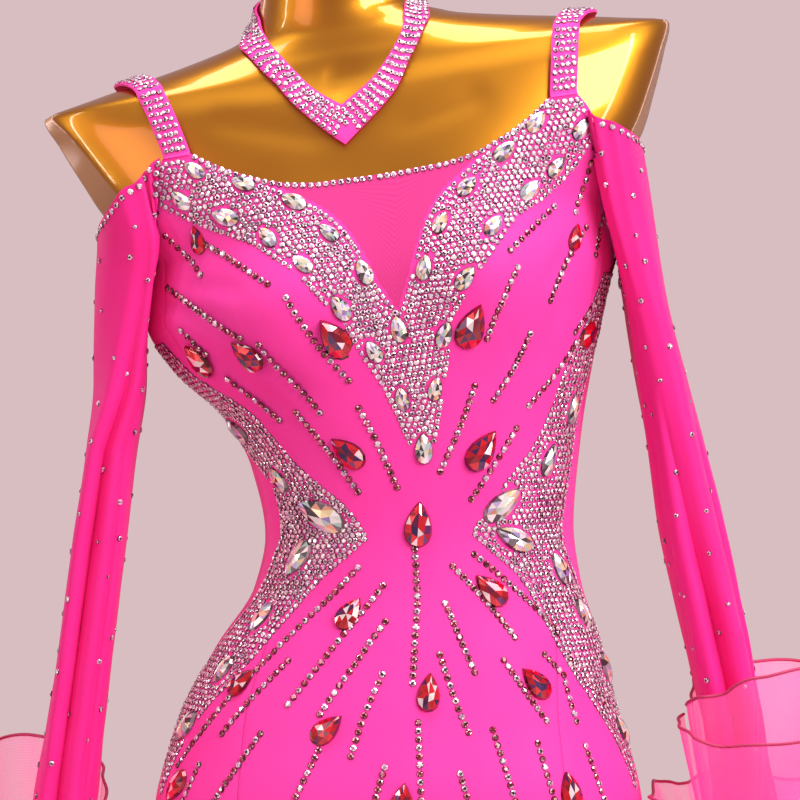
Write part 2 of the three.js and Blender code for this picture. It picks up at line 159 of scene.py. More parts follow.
# Edges of the gown, as (degrees round from its front centre, height).
NECKLINE = through([(0, 1321.5), (9, 1322.5), (14.8, 1326), (19.2, 1332.5), (25, 1344),
                    (29.6, 1355)])
ARMHOLE_FRONT = through([(37, 1355), (42.6, 1342.5), (49, 1324), (57.5, 1312),
                         (66, ARMHOLE_CORNER)])
ARMHOLE_UNDER = through([(66, ARMHOLE_CORNER), (78, 1276), (92, 1266), (108, 1278),
                         (124, ARMHOLE_CORNER)])
ARMHOLE_BACK = through([(124, ARMHOLE_CORNER), (134, 1322), (143, 1350)])
BACK_NECK = through([(150.4, 1350), (153, 1336), (160, 1255), (170, 1195), (180, 1178)])
# The V's two sides rise from its point to the neckline.
V_TURN, V_HALF = 1.8, 19.2
V_LEFT = through([(-V_HALF, 1332.5), (-16, 1324.5), (-12.8, 1314), (-10, 1303.5), (-7.5, 1292),
                  (-3.3, 1270), (-0.7, 1251), (V_TURN, 1234)])
V_RIGHT = through([(V_TURN, 1234), (4.6, 1253), (6, 1268), (7.6, 1284), (10.1, 1302),
                   (12.9, 1313.5), (15.3, 1322.5), (V_HALF, 1332.5)])
INSET_HALF = 18.6
INSET_TUCK = 1.5

# Princess seams, as (height, degrees round from the gown's centre).
FRONT_SEAM = through([(862, 38), (920, 40), (1012, 47), (1090, 56), (1170, 64), (1200, 66)])
BACK_SEAM = through([(862, 136), (1012, 131), (1100, 127), (1200, 124)])

STRAP_ACROSS = through([(0, 127.2), (0.18, 136.5), (0.45, 154.5), (0.62, 152), (1, 134)])
STRAP_SHIFT = 2.5
STRAP_MIDDLE = 33.3
STRAP_WIDTH = 17.5
STRAP_HUB_HEIGHT, STRAP_HUB_DEPTH = 1357, 10
STRAP_SWEEP = 183          # degrees over the shoulder, from front to back
STRAP_REACH = 160          # further from the hub than any strap lies
STRAP_LAP = 0.012          # share of its length that laps the bodice at its foot

# The choker lies between two edges, as (degrees round the neck from its point, height).
CHOKER_LOWER = through([(0, 1345), (27, 1375), (41, 1397), (55, 1416), (80, 1431), (125, 1441),
                        (180, 1443)])
CHOKER_UPPER = through([(0, 1371), (20, 1387), (37, 1408), (50, 1424), (67, 1437), (95, 1448),
                        (140, 1460), (180, 1462)])
CHOKER_TURN = -6
CHOKER_PULL, CHOKER_PULL_WIDE = -6, 25     # its point is pulled this much further
OFF_POLE = 1e-4            # keeps bearings off a right angle


def in_section(height, across, deep):
    """A point of the form's section plane: across is turned by the section's lean, and
    deep runs to the back."""
    lean = np.radians(SECTION["lean"](height))
    return np.stack(np.broadcast_arrays(
        SECTION["shift"](height) + across * np.cos(lean), deep,
        height + across * np.sin(lean)), -1)


def form_surface(height, turn):
    """The form: at each height a superellipse, half width times the sine and depth times
    the cosine of turn, each to the power 2 / square. Two bells swell its front."""
    height, turn = np.broadcast_arrays(np.asarray(height, float), np.asarray(turn, float))
    power = 2 / SECTION["square"](height)
    facing = np.cos(np.radians(turn))
    across = SECTION["half"](height) * signed_power(np.sin(np.radians(turn)), power)
    depth = np.where(facing > 0, SECTION["front"](height), SECTION["back"](height))
    deep = -depth * signed_power(facing, power)
    tall = np.where(height < BUST["height"], BUST["below"], BUST["above"])
    lobes = sum(bell(across + centre, BUST["wide"]) for centre in (-BUST["across"], BUST["across"]))
    swell = BUST["out"] * bell(height - BUST["height"], tall)
    deep = deep - swell * lobes * np.maximum(facing, 0) ** BUST["soften"]
    return in_section(height, across, deep)


# The arm stumps end in plates, whose front edge runs at these degrees round by height. They
# start at a height, take a blend's height to flatten, and end below the shoulder's top.
PLATE_START, PLATE_BLEND, PLATE_END = 1300, 30, 1400
PLATE_LEFT = through([(1300, 56), (1342, 60), (1387, 68), (1398, 74)])
PLATE_RIGHT = through([(1300, 64), (1333, 70), (1390, 79), (1398, 82)])
# Hollows of the chest, seen from the front: both ends' X and Z, depth and half width. They
# stay within so many degrees of the form's front.
CHEST_TURN = 80
HOLLOWS = ((47, 1375, 3, 1357, 1.2, 10), (-54, 1349, -117, 1358, 1.0, 9),
           (-39, 1381, -38, 1386, 4, 11))


def modelled_form(height, turn):
    """The form with its arm plates and chest: past a plate's edge the surface runs straight
    to the side, and each hollow is a bell across the line between its ends."""
    height, turn = np.broadcast_arrays(height, turn)
    signed = (turn + 180) % 360 - 180
    edge = np.where(signed < 0, PLATE_LEFT(height), PLATE_RIGHT(height))
    from_side = np.abs(np.abs(signed) - 90)
    share = np.clip((90 - edge - from_side) / (90 - edge), 0, 1)
    on_edge = np.sign(signed) * np.where(np.abs(signed) > 90, 180 - edge, edge)
    flat = form_surface(height, on_edge) * (1 - share)[..., None] \
        + form_surface(height, 90 * np.sign(signed)) * share[..., None]
    much = np.clip((height - PLATE_START) / PLATE_BLEND, 0, 1)
    much = (much * (share > 0) * (height < PLATE_END))[..., None]
    points = form_surface(height, turn) * (1 - much) + flat * much
    for x0, z0, x1, z1, deep, wide in HOLLOWS:
        start, way = np.array([x0, z0]), np.array([x1 - x0, z1 - z0])
        offset = points[..., [0, 2]] - start
        along = np.clip((offset @ way) / (way @ way), 0, 1)
        gap = np.linalg.norm(offset - along[..., None] * way, axis=-1)
        points[..., 1] += deep * bell(gap, wide) * (np.abs(signed) < CHEST_TURN)
    return points


def front_of_form(x, z):
    """How far forward the form reaches at X and Z: its Y, from its section there, whose
    height is found by repeated substitution."""
    height = z
    for _ in range(6):
        lean = np.radians(SECTION["lean"](height))
        across = (x - SECTION["shift"](height)) / np.cos(lean)
        height = z - across * np.sin(lean)
    power = SECTION["square"](height)
    ratio = np.minimum(np.abs(across) / SECTION["half"](height), 1)
    return -SECTION["front"](height) * (1 - ratio ** power) ** (1 / power)


def form_by_bearing(height, bearing):
    """The same surface by true bearing round the spine, which is where the bearing's ray
    meets the section's superellipse."""
    facing = np.cos(np.radians(bearing))
    depth = np.where(facing > 0, SECTION["front"](height), SECTION["back"](height))
    ratio = np.abs(np.tan(np.radians(bearing))) * depth / SECTION["half"](height)
    turn = np.degrees(np.arctan(ratio ** (SECTION["square"](height) / 2)))
    side = np.where(np.sin(np.radians(bearing)) < 0, -1, 1)
    return form_surface(height, side * np.where(facing > 0, turn, 180 - turn))


def v_edge(turn):
    return np.where(turn < V_TURN, V_LEFT(turn), V_RIGHT(turn))


def front_top(turn):
    """The front panel's top edge: the V, the neckline up to the strap, and the armhole."""
    away = np.abs(turn)
    return np.where(away < V_HALF, v_edge(turn),
                    np.where(away < STRAP_MIDDLE, NECKLINE(away), ARMHOLE_FRONT(away)))


def back_top(turn):
    away = 180 - np.abs(turn - 180)
    return np.where(away > 180 - STRAP_MIDDLE, BACK_NECK(away), ARMHOLE_BACK(away))


def panel_surface(low_seam, high_seam, top, middle=0):
    """A bodice panel: s runs between its two seams and t from the hip seam to its top
    edge. Each column's top is where the edge crosses it, found by repeated substitution.
    middle moves the middle column, which is the V's point on the front panel."""
    def turn_at(s, height):
        pull = np.degrees(SEAM_GAP / 2 / SECTION["half"](height))
        low = low_seam(height) + pull
        return low + s * (high_seam(height) - pull - low) + 4 * s * (1 - s) * middle

    def at(s, t):
        highest = np.full(np.shape(s), float(ARMHOLE_CORNER))
        for _ in range(14):
            highest = top(turn_at(s, highest))
        lowest = HIP_SEAM + SEAM_GAP / 2
        height = lowest + t * (highest - lowest)
        return form_surface(height, turn_at(s, height) + GOWN_TURN)

    return at


def inset_surface(s, t):
    """The mesh inset: s runs across the V and t from just behind the V's edge up to the
    neckline."""
    turn = INSET_HALF * (2 * s - 1) + 4 * s * (1 - s) * V_TURN
    low = v_edge(turn) - INSET_TUCK
    return form_surface(low + t * (NECKLINE(np.abs(turn)) - low), turn + GOWN_TURN)


def strap_surface(side):
    """A strap: s runs across it and t over the shoulder. Its line is where rays from a hub
    inside the shoulder leave the form, found by halving."""
    def at(s, t):
        across = side * STRAP_ACROSS(t) + STRAP_SHIFT * (1 - t) + STRAP_WIDTH * (s - 0.5)
        ray = np.radians(t * STRAP_SWEEP)
        near, far = np.zeros(np.shape(across)), np.full(np.shape(across), float(STRAP_REACH))
        for _ in range(30):
            middle = (near + far) / 2
            height = STRAP_HUB_HEIGHT + middle * np.sin(ray)
            deep = STRAP_HUB_DEPTH - middle * np.cos(ray)
            power = SECTION["square"](height)
            depth = np.where(deep < 0, SECTION["front"](height), SECTION["back"](height))
            inside = (np.abs(across) / SECTION["half"](height)) ** power \
                + (np.abs(deep) / depth) ** power < 1
            near, far = np.where(inside, middle, near), np.where(inside, far, middle)
        return in_section(STRAP_HUB_HEIGHT + near * np.sin(ray), across,
                          STRAP_HUB_DEPTH - near * np.cos(ray))

    return at


def lapped(surface):
    """A strap's surface, which starts a little before its foot so that it laps the bodice."""
    return lambda s, t: surface(s, t * (1 + STRAP_LAP) - STRAP_LAP)


def choker_surface(s, t):
    """The choker: s runs round the neck and t between its lower and upper edge."""
    away = 360 * (s % 1) - 180
    low, high = CHOKER_LOWER(np.abs(away)), CHOKER_UPPER(np.abs(away))
    pull = CHOKER_PULL * bell(away, CHOKER_PULL_WIDE)
    return form_by_bearing(low + t * (high - low), away + CHOKER_TURN + pull + OFF_POLE)


# ---- Sleeves, cuffs and skirt ------------------------------------------------------------

# Rows of a sleeve: height, distance of its centre from the middle plane, half width, half
# depth, and its place front to back. rim is its top edge, by degrees round: 0 outward, 90
# front, 180 towards the body, 270 back. tilt is how far its front leans in, by height. folds
# are its long soft folds: degrees round, depth and half width in degrees. They fade out
# below a height over a span, which is fade. near is the cuffs' reach towards the body, as a
# share of their tables'.
SLEEVES = {
    "left": {
        "side": -1, "end": 816, "near": 0.72,
        "rows": ((816, 233, 21, 27, -14), (909, 223, 19.5, 33, -14), (997, 211, 17.5, 37, -14),
                 (1084, 200, 17, 40, -13), (1143, 192.5, 15.5, 42, -12),
                 (1190, 187, 15.5, 43, -11), (1250, 187, 14.5, 52, -8), (1286, 183, 18, 61, -4),
                 (1340, 178, 26, 64, -4)),
        "rim": ((0, 1288), (45, 1301), (90, 1317), (120, 1329), (143, 1335), (158, 1290),
                (180, 1240), (220, 1246), (240, 1256), (270, 1304), (315, 1300), (360, 1288)),
        "tilt": ((1143, 0), (1205, 11), (1265, 19), (1300, 10), (1325, 0)),
        "fade": (1290, 190),
        "folds": ((84, 13, 11), (128, 3, 9), (232, 5, 16), (290, 6, 20)),
    },
    "right": {
        "side": 1, "end": 872, "near": 1,
        "rows": ((872, 235, 21, 27, -14), (950, 224, 18, 33, -14), (1016, 211, 19.5, 36, -14),
                 (1084, 196, 20, 39, -13), (1136, 185.5, 18, 41, -12),
                 (1190, 174.5, 15.8, 43, -11), (1250, 163.3, 13.3, 52, -8),
                 (1300, 154, 14.5, 61, -4), (1336, 147, 15.5, 64, -4), (1370, 140, 17, 64, -4)),
        "rim": ((0, 1347), (45, 1352), (90, 1360), (120, 1365), (143, 1366), (156, 1300),
                (180, 1256), (220, 1262), (240, 1274), (270, 1330), (315, 1342), (360, 1347)),
        "tilt": ((1190, 0), (1262, 6), (1310, 9), (1370, 8)),
        "fade": (1190, 150),
        "folds": ((98, 12, 10), (36, 9, 8), (66, -2, 12), (236, 5, 16), (292, 6, 20)),
    },
}
SLEEVE_SQUARE = 3
SLEEVE_THICK = 1.2
FOLD_RUN_IN = 60                            # folds deepen over this much above the end
FOLD_DRIFT, FOLD_DRIFT_LENGTH = 4, 90       # and wander by these degrees on the way up
HEAD_FROM = 1240                            # above this the front lies on the bodice,
HEAD_FORWARD, HEAD_SIDEWAYS = 7.5, 4        # this far from the form's surface

# Cuff tiers: clear is their foot's distance from the sleeve, bow the power that they open by,
# and waves and swing their rim's waves, by number and size. lap is how many degrees they
# go past once round. reach is how far the rim stands out from the sleeve and rise its
# height above the sleeve's end, by degrees round.
RING_UP, RING_OUT = 2, 1.2       # the foot's height above the sleeve's end, and its least gap
LAP_OUT = 1.5                    # how far outside the last each further turn lies
WAVE_START, WAVE_UP = 0.6, 0.4   # where round the waves start, and how much they lift the rim
TIERS = {
    ("left", "upper"): {
        "clear": 0.4, "bow": 0.85, "waves": 5, "swing": 5, "lap": 0, "flat": (0.42, 0.10),
        "reach": ((0, 66), (90, 24), (180, 22.5), (270, 30), (360, 66)),
        "rise": ((0, 116), (90, 72), (180, 80), (270, 131), (360, 116))},
    ("right", "upper"): {
        "clear": 0.4, "bow": 0.85, "waves": 5, "swing": 4, "lap": 190, "flat": (0.70, 0.10),
        "reach": ((0, 64), (45, 38), (90, 21), (120, 21), (150, 20), (180, 21), (270, 28),
                  (360, 66), (450, 29), (550, 25)),
        "rise": ((0, 131), (45, 130), (90, 121), (120, 112), (150, 106), (180, 101), (270, 126),
                 (360, 112), (450, 77), (500, 80), (550, 94))},
    ("left", "lower"): {
        "clear": 2.4, "bow": 0.6, "waves": 7, "swing": 6, "lap": 0, "flat": (0.42, 0.10),
        "reach": ((0, 88), (90, 66), (180, 49), (270, 62), (360, 88)),
        "rise": ((0, 40), (90, 40), (180, 40), (270, 46), (360, 40))},
    ("right", "lower"): {
        "clear": 4.6, "bow": 0.6, "waves": 7, "swing": 6, "lap": 0, "flat": (0.42, 0.10),
        "reach": ((0, 88), (90, 66), (180, 45), (270, 62), (360, 88)),
        "rise": ((0, 40), (90, 40), (180, 40), (270, 44), (360, 40))},
}

SKIRT_HEM = 32
SKIRT_RADIUS = 470
HIP_RADIUS = 150                 # about, for the seams' share of a turn
FLARE_POWER = 1.35
SKIRT_FOLDS = 14
SKIRT_FOLD_DEPTH = 46
SKIRT_FOLD_POWER = 1.6           # how late the folds deepen on the way down
# Waves that make the folds uneven in depth: times round, share and start. The last pair
# moves the folds sideways.
FOLD_WAVES = ((2, 0.18, 0.7), (5, 0.12, 0))
FOLD_SHIFT_WAVES, FOLD_SHIFT = 3, 0.5
GORE_EDGES = (-38, 38, 87, 136, 224, 273, 322)
GORE_NAMES = ("skirt_front", "skirt_side_front_right", "skirt_side_back_right",
              "skirt_back", "skirt_side_back_left", "skirt_side_front_left")


def sleeve_surface(sleeve):
    """A sleeve by height and degrees round: a superellipse at each height, dented by bells
    that run its length and fade out at both ends. Its front half leans in towards the body
    by the square of the way to its front edge."""
    centre, half, depth, middle = (
        through([(row[0], row[i]) for row in sleeve["rows"]]) for i in (1, 2, 3, 4))
    tilt = through(sleeve["tilt"])

    def at(height, away):
        angle = np.radians(away)
        power = 2 / SLEEVE_SQUARE
        drift = FOLD_DRIFT * np.sin(height / FOLD_DRIFT_LENGTH)
        dent = sum(deep * bell(away % 360 - place - drift, wide)
                   for place, deep, wide in sleeve["folds"])
        top, span = sleeve["fade"]
        fade = np.minimum(1, (height - sleeve["end"]) / FOLD_RUN_IN) \
            * np.clip((top - height) / span, 0, 1)
        out = half(height) * signed_power(np.cos(angle), power)
        front = depth(height) * signed_power(np.sin(angle), power)
        scale = 1 - dent * fade / np.hypot(out, front)
        lean = tilt(height) * np.maximum(0, front / depth(height)) ** 2
        return np.stack([sleeve["side"] * (centre(height) + out * scale - lean),
                         middle(height) - front * scale, height + 0 * out], -1)

    return at


def away_at(sleeve, s):
    """Degrees round the sleeve, in the order that keeps its outside outward."""
    s = s % 1
    return 360 * (1 - s if sleeve["side"] > 0 else s)


def sleeve_sheet(sleeve):
    """The sleeve's cloth: s runs round it and t from its end to its rim. Its head lies on
    the form and the bodice wherever they reach further forward than it does."""
    surface, rim = sleeve_surface(sleeve), through(sleeve["rim"])

    def at(s, t):
        away = away_at(sleeve, s)
        points = surface(sleeve["end"] + t * (rim(away % 360) - sleeve["end"]), away)
        inward = points[..., 0] - HEAD_SIDEWAYS * sleeve["side"]
        front = front_of_form(inward, points[..., 2]) - HEAD_FORWARD
        lifted = np.minimum(points[..., 1], front)
        is_head = (points[..., 1] < 0) & (points[..., 2] > HEAD_FROM)
        points[..., 1] = np.where(is_head, lifted, points[..., 1])
        return points

    return at


def cuff_sheet(sleeve, tier):
    """An organza tier: from a ring round the sleeve's end it goes out by reach times a
    power of t and up by rise times another, with waves that grow towards its rim."""
    surface = sleeve_surface(sleeve)
    reach, rise = through(tier["reach"]), through(tier["rise"])

    def at(s, t):
        s = s if tier["lap"] else s % 1
        away = (360 + tier["lap"]) * (1 - s if sleeve["side"] > 0 else s)
        level = sleeve["end"] + RING_UP
        foot = surface(level + 0 * away, away)
        centre = (surface(level, 0.0) + surface(level, 180.0)) / 2
        outward = unit(foot - centre)
        wave = tier["swing"] * t * np.sin(np.radians(tier["waves"] * away) + WAVE_START)
        near = 1 + (sleeve["near"] - 1) * (1 - np.cos(np.radians(away))) / 2
        clear = tier["clear"] + RING_OUT + LAP_OUT * away / 360 * (tier["lap"] > 0)
        out = clear + near * reach(away) * t ** tier["bow"] + wave
        up = rise(away) * t ** (1 / tier["bow"]) + WAVE_UP * wave
        return foot + outward * out[..., None] + np.array([0, 0, 1]) * up[..., None]

    return at


def skirt_surface(share, turn):
    """The skirt: the hip section blends into a wavy circle at the hem by share to the flare
    power, and its cone folds deepen on the way down."""
    angle = np.radians(turn + GOWN_TURN)
    top = form_surface(HIP_SEAM, turn + GOWN_TURN)
    uneven = 1 + sum(much * np.sin(times * angle + start) for times, much, start in FOLD_WAVES)
    shifted = SKIRT_FOLDS * angle + FOLD_SHIFT * np.sin(FOLD_SHIFT_WAVES * angle)
    fold = SKIRT_FOLD_DEPTH * share ** SKIRT_FOLD_POWER * uneven * np.cos(shifted)
    flare = share ** FLARE_POWER
    radius = SKIRT_RADIUS + fold
    return np.stack([
        top[..., 0] * (1 - flare) + radius * np.sin(angle) * flare,
        top[..., 1] * (1 - flare) - radius * np.cos(angle) * flare,
        HIP_SEAM - SEAM_GAP / 2 - share * (HIP_SEAM - SKIRT_HEM) + 0 * angle], -1)


def gore_sheet(low, high):
    def at(s, t):
        share = 1 - t
        pull = np.degrees(SEAM_GAP / 2 / (HIP_RADIUS + share * (SKIRT_RADIUS - HIP_RADIUS)))
        return skirt_surface(share, low + pull + s * (high - low - 2 * pull))

    return at


# ---- Meshes ------------------------------------------------------------------------------

STEP = 1e-3                # of s or t, for slopes
CLOTH_CREASE, SOLID_CREASE, CORD_CREASE, FLOOR_CREASE = 50, 40, 80, 60     # degrees


def make_piece(name, points, loops, totals, material, uv=None, facets=None, sharp=None):
    """Makes an object from points in millimetres and faces given as one run of corners.
    uv is one pair a point, facets one colour a face, and sharp the angle past which an
    edge stays crisp: without it every face is flat."""
    mesh = bpy.data.meshes.new(name)
    mesh.vertices.add(len(points))
    mesh.vertices.foreach_set("co", (points * MM).astype(np.float32).ravel())
    mesh.loops.add(len(loops))
    mesh.loops.foreach_set("vertex_index", loops.astype(np.int32))
    starts = np.concatenate([[0], np.cumsum(totals)[:-1]])
    mesh.polygons.add(len(totals))
    mesh.polygons.foreach_set("loop_start", starts.astype(np.int32))
    mesh.polygons.foreach_set("use_smooth", np.full(len(totals), sharp is not None))
    mesh.update(calc_edges=True)
    if uv is not None:
        layer = mesh.uv_layers.new(name="cloth")
        layer.data.foreach_set("uv", uv[loops].astype(np.float32).ravel())
    if facets is not None:
        colour = mesh.color_attributes.new("facet", "FLOAT_COLOR", "CORNER")
        colour.data.foreach_set("color", np.repeat(facets, totals, 0).astype(np.float32).ravel())
    if sharp is not None:
        mesh.set_sharp_from_angle(angle=np.radians(sharp))
    mesh.validate()
    piece = bpy.data.objects.new(name, mesh)
    bpy.context.scene.collection.objects.link(piece)
    mesh.materials.append(material)
    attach(piece, "root")
    return piece


def upward(surface, s, t):
    """A small step of the surface along t."""
    return surface(s, np.minimum(t + STEP, 1)) - surface(s, np.maximum(t - STEP, 0))


def normals_of(surface, s, t, closed):
    """The surface's points and outward normals, from small steps along s and t."""
    back, on = s - STEP, s + STEP
    if not closed:
        back, on = np.maximum(back, 0), np.minimum(on, 1)
    along = surface(on, t) - surface(back, t)
    return surface(s, t), unit(np.cross(along, upward(surface, s, t)))


def run_length(points):
    """Distance along a run of points from its start to each of them."""
    return np.concatenate([[0], np.cumsum(np.linalg.norm(np.diff(points, axis=0), axis=-1))])


def grid_quads(columns, rows, across):
    """Corners of a grid's quads. across is how many points a row holds: where that is
    the number of columns, the last column joins the first."""
    i, j = (a.ravel() for a in np.meshgrid(np.arange(columns), np.arange(rows)))
    a, b = j * across + i, j * across + (i + 1) % across
    return np.stack([a, b, b + across, a + across], 1)


TURNED = [0, 3, 2, 1]      # a quad's corners the other way round


def wall_quads(columns, rows, closed):
    """Corners of a wall's quads: an outer and an inner grid, and the rims that join them."""
    across = columns if closed else columns + 1
    count = across * (rows + 1)
    outer = grid_quads(columns, rows, across)
    quads = [outer, outer[:, TURNED] + count]
    k = np.arange(columns)
    a, b = k, (k + 1) % across
    quads.append(np.stack([a + count, b + count, b, a], 1))
    a, b = a + rows * across, b + rows * across
    quads.append(np.stack([a, b, b + count, a + count], 1))
    if not closed:
        a = np.arange(rows) * across
        quads.append(np.stack([a, a + across, a + across + count, a + count], 1))
        a = a + columns
        quads.append(np.stack([a + count, a + across + count, a + across, a], 1))
    return np.concatenate(quads)


def cloth_wall(name, surface, columns, rows, inner, outer, material, closed=False, relief=None):
    """A closed wall of cloth: the surface moved out along its normals to an inner and an
    outer sheet, with relief in millimetres added to both. UVs are in metres of cloth."""
    across = columns if closed else columns + 1
    s, t = np.meshgrid(np.arange(across) / columns, np.arange(rows + 1) / rows)
    middle, normal = normals_of(surface, s, t, closed)
    lift = relief(s, t) if relief else np.zeros(s.shape)
    sheets = [middle + normal * (lift + offset)[..., None] for offset in (outer, inner)]
    width = np.linalg.norm(np.diff(middle, axis=1), axis=-1).sum(1).mean()
    length = np.linalg.norm(np.diff(middle, axis=0), axis=-1).sum(0).mean()
    uv = np.stack([s * width, t * length], -1).reshape(-1, 2) * MM
    quads = wall_quads(columns, rows, closed)
    return make_piece(name, np.concatenate([sheet.reshape(-1, 3) for sheet in sheets]),
                      quads.ravel(), np.full(len(quads), 4), material,
                      uv=np.concatenate([uv, uv]), sharp=CLOTH_CREASE)


def solid_rings(name, rings, material):
    """A closed solid through rings of points, with a fan at each end."""
    rows, columns = rings.shape[:2]
    quads = grid_quads(columns, rows - 1, columns)
    k = np.arange(columns)
    nxt = (k + 1) % columns
    low, high = rows * columns, rows * columns + 1
    top = (rows - 1) * columns
    fans = np.concatenate([np.stack([np.full(columns, low), nxt, k], 1),
                           np.stack([np.full(columns, high), top + k, top + nxt], 1)])
    points = np.concatenate([rings.reshape(-1, 3), rings[[0, -1]].mean(1)])
    loops = np.concatenate([quads.ravel(), fans.ravel()])
    totals = np.concatenate([np.full(len(quads), 4), np.full(len(fans), 3)])
    return make_piece(name, points, loops, totals, material, sharp=SOLID_CREASE)


def cord_round(name, path, out, radius, sides, material, closed=True):
    """A cord: at each point of the path, a circle square to the path, turned so that it
    starts along out. An open cord has flat ends."""
    along = unit(np.roll(path, -1, 0) - np.roll(path, 1, 0) if closed
                 else np.gradient(path, axis=0))
    up = unit(np.cross(along, out))
    side = np.cross(up, along)
    angle = np.linspace(0, 2 * np.pi, sides, endpoint=False)
    rings = path[:, None] + radius * (side[:, None] * np.cos(angle)[:, None]
                                      + up[:, None] * np.sin(angle)[:, None])
    count = len(path)
    quads = grid_quads(sides, count - (not closed), sides)[:, TURNED] % (count * sides)
    loops, totals = quads.ravel(), np.full(len(quads), 4)
    if not closed:
        first = np.arange(sides)
        loops = np.concatenate([loops, first, first[::-1] + (count - 1) * sides])
        totals = np.concatenate([totals, [sides, sides]])
    return make_piece(name, rings.reshape(-1, 3), loops, totals, material, sharp=CORD_CREASE)


# ---- Stones ------------------------------------------------------------------------------

STONE_TIP = 0.07           # slope that a stone is tipped by, as a standard deviation
PEAK = -0.12               # the peak of a drop's table, from its middle


def round_cut():
    """A flat-backed round stone of radius 1: a foiled edge, which the palettes colour as a dark
    ring that is partly painted shade, sixteen crown facets and a table turned half a step.
    The third list says which part each face belongs to."""
    k = np.arange(8)
    straight, turned = np.radians(45 * k), np.radians(45 * k + 22.5)
    rings = ((straight, 1, 0), (straight, 0.84, 0.3), (turned, 0.42, 0.52))
    points = np.concatenate([
        np.stack([radius * np.cos(angle), radius * np.sin(angle), 0 * angle + height], 1)
        for angle, radius, height in rings])
    nxt = (k + 1) % 8
    faces = [(a, b, 8 + b, 8 + a) for a, b in zip(k, nxt)]
    faces += [(8 + a, 8 + b, 16 + a) for a, b in zip(k, nxt)]
    faces += [(8 + b, 16 + b, 16 + a) for a, b in zip(k, nxt)]
    faces += [tuple(16 + k), tuple(k[::-1])]
    return points, faces, ["edge"] * 8 + ["crown"] * 16 + ["table", "edge"]


def drop_cut(point_power, count=16):
    """A flat-backed drop with its tip along +Y: the outline is sine times a power of the
    half angle's sine across and cosine along, then a foiled edge, which the palettes colour
    as a dark ring that is partly painted shade, crown facets, a ring of half as many corners
    and a low peak."""
    fine = np.linspace(0, np.pi, 200)
    widest = (np.sin(fine) * np.sin(fine / 2) ** point_power).max()

    def outline(steps, scale, height):
        angle = -np.linspace(0, 2 * np.pi, steps, endpoint=False)
        wide = np.sin(angle) * np.abs(np.sin(angle / 2)) ** point_power / widest
        return np.stack([scale * wide, scale * np.cos(angle), height + 0 * angle], 1)

    half = count // 2
    points = np.concatenate([outline(count, 1, 0.0), outline(count, 0.9, 0.28),
                             outline(half, 0.52, 0.58), [[0, PEAK, 0.64]]])
    faces = [(i, (i + 1) % count, count + (i + 1) % count, count + i) for i in range(count)]
    parts = ["edge"] * count
    ring, peak = 2 * count, 2 * count + half
    for i in range(half):
        here, after = ring + i, ring + (i + 1) % half
        first, second, third = (count + (2 * i + step) % count for step in (0, 1, 2))
        faces += [(first, second, here), (second, after, here), (second, third, after),
                  (here, after, peak)]
        parts += ["crown", "crown", "crown", "table"]
    return points, faces + [tuple(range(count))[::-1]], parts + ["edge"]


def set_stones(name, cut, spots, half_long, half_wide, lean, palette, material, seed):
    """One mesh of flat-backed stones. Each is the cut stretched to its own half sizes, spun
    by lean from the cloth's up towards its right, tipped a little, and set at its spot."""
    points, faces, parts = cut
    place, east, north, out = spots
    count = len(place)
    rng = np.random.default_rng(seed)
    spin = np.radians(np.broadcast_to(lean, count))[:, None]
    long = north * np.cos(spin) + east * np.sin(spin)
    wide = east * np.cos(spin) - north * np.sin(spin)
    half_long, half_wide = (np.broadcast_to(a, count)[:, None] for a in (half_long, half_wide))
    tip = rng.normal(0, STONE_TIP, (count, 2))
    x, y = points[None, :, 0] * half_wide, points[None, :, 1] * half_long
    z = points[None, :, 2] * half_wide
    z = z + (x * tip[:, :1] + y * tip[:, 1:]) * (points[None, :, 2] > 0)
    world = place[:, None] + wide[:, None] * x[..., None] + long[:, None] * y[..., None] \
        + out[:, None] * z[..., None]
    corners = np.array([corner for face in faces for corner in face])
    loops = (corners[None] + np.arange(count)[:, None] * len(points)).ravel()
    totals = np.tile([len(face) for face in faces], count)
    # Every face gets a colour from its part's palette: painted reflections on the crown and table,
    # and painted shade with the foil's rim on the edge.
    facets = np.ones((count, len(faces), 4))
    for part, choices in palette.items():
        which = [number for number, each in enumerate(parts) if each == part]
        colours = np.array([linear(code) for code in choices])
        facets[:, which, :3] = colours[rng.integers(0, len(colours), (count, len(which)))]
    facets = facets.reshape(-1, 4)
    return make_piece(name, world.reshape(-1, 3), loops, totals, material, facets=facets)


def set_rounds(name, spots, half, spin, material, seed, palette=None):
    """Round stones, clear ones where no palette is given."""
    return set_stones(name, round_cut(), spots, half, half, spin, palette or CLEAR_REFLECTIONS, material, seed)


def spots_on(surface, s, t, offset, closed=False):
    """Where stones sit on a surface: their places, and the cloth's right, up and out."""
    middle, out = normals_of(surface, s, t, closed)
    east = unit(np.cross(upward(surface, s, t), out))
    return middle + out * offset, east, np.cross(out, east), out


def spots_on_bodice(turn, height, offset=CLOTH_OUTSIDE):
    """The same by degrees round the form and height."""
    turn, height = np.asarray(turn, float), np.asarray(height, float)
    along = form_surface(height, turn + 0.2) - form_surface(height, turn - 0.2)
    up = form_surface(height + 0.5, turn) - form_surface(height - 0.5, turn)
    out = unit(np.cross(along, up))
    east = unit(along)
    return form_surface(height, turn) + out * offset, east, np.cross(out, east), out


# The cloth laid flat: arc is the distance round the form from its front centre at each
# height, from a table that sums short steps.
HEIGHT_STEP, TURN_STEP = 10.0, 2.0
FLAT_HEIGHTS = np.arange(850, 1371, HEIGHT_STEP)
FLAT_TURNS = np.arange(-180, 181, TURN_STEP)
ARC_A_DEGREE, LEAST_SLOPE = 2.2, 0.5       # about and at least, in millimetres
NEWTON_STEPS, LAST_TURN = 12, 175


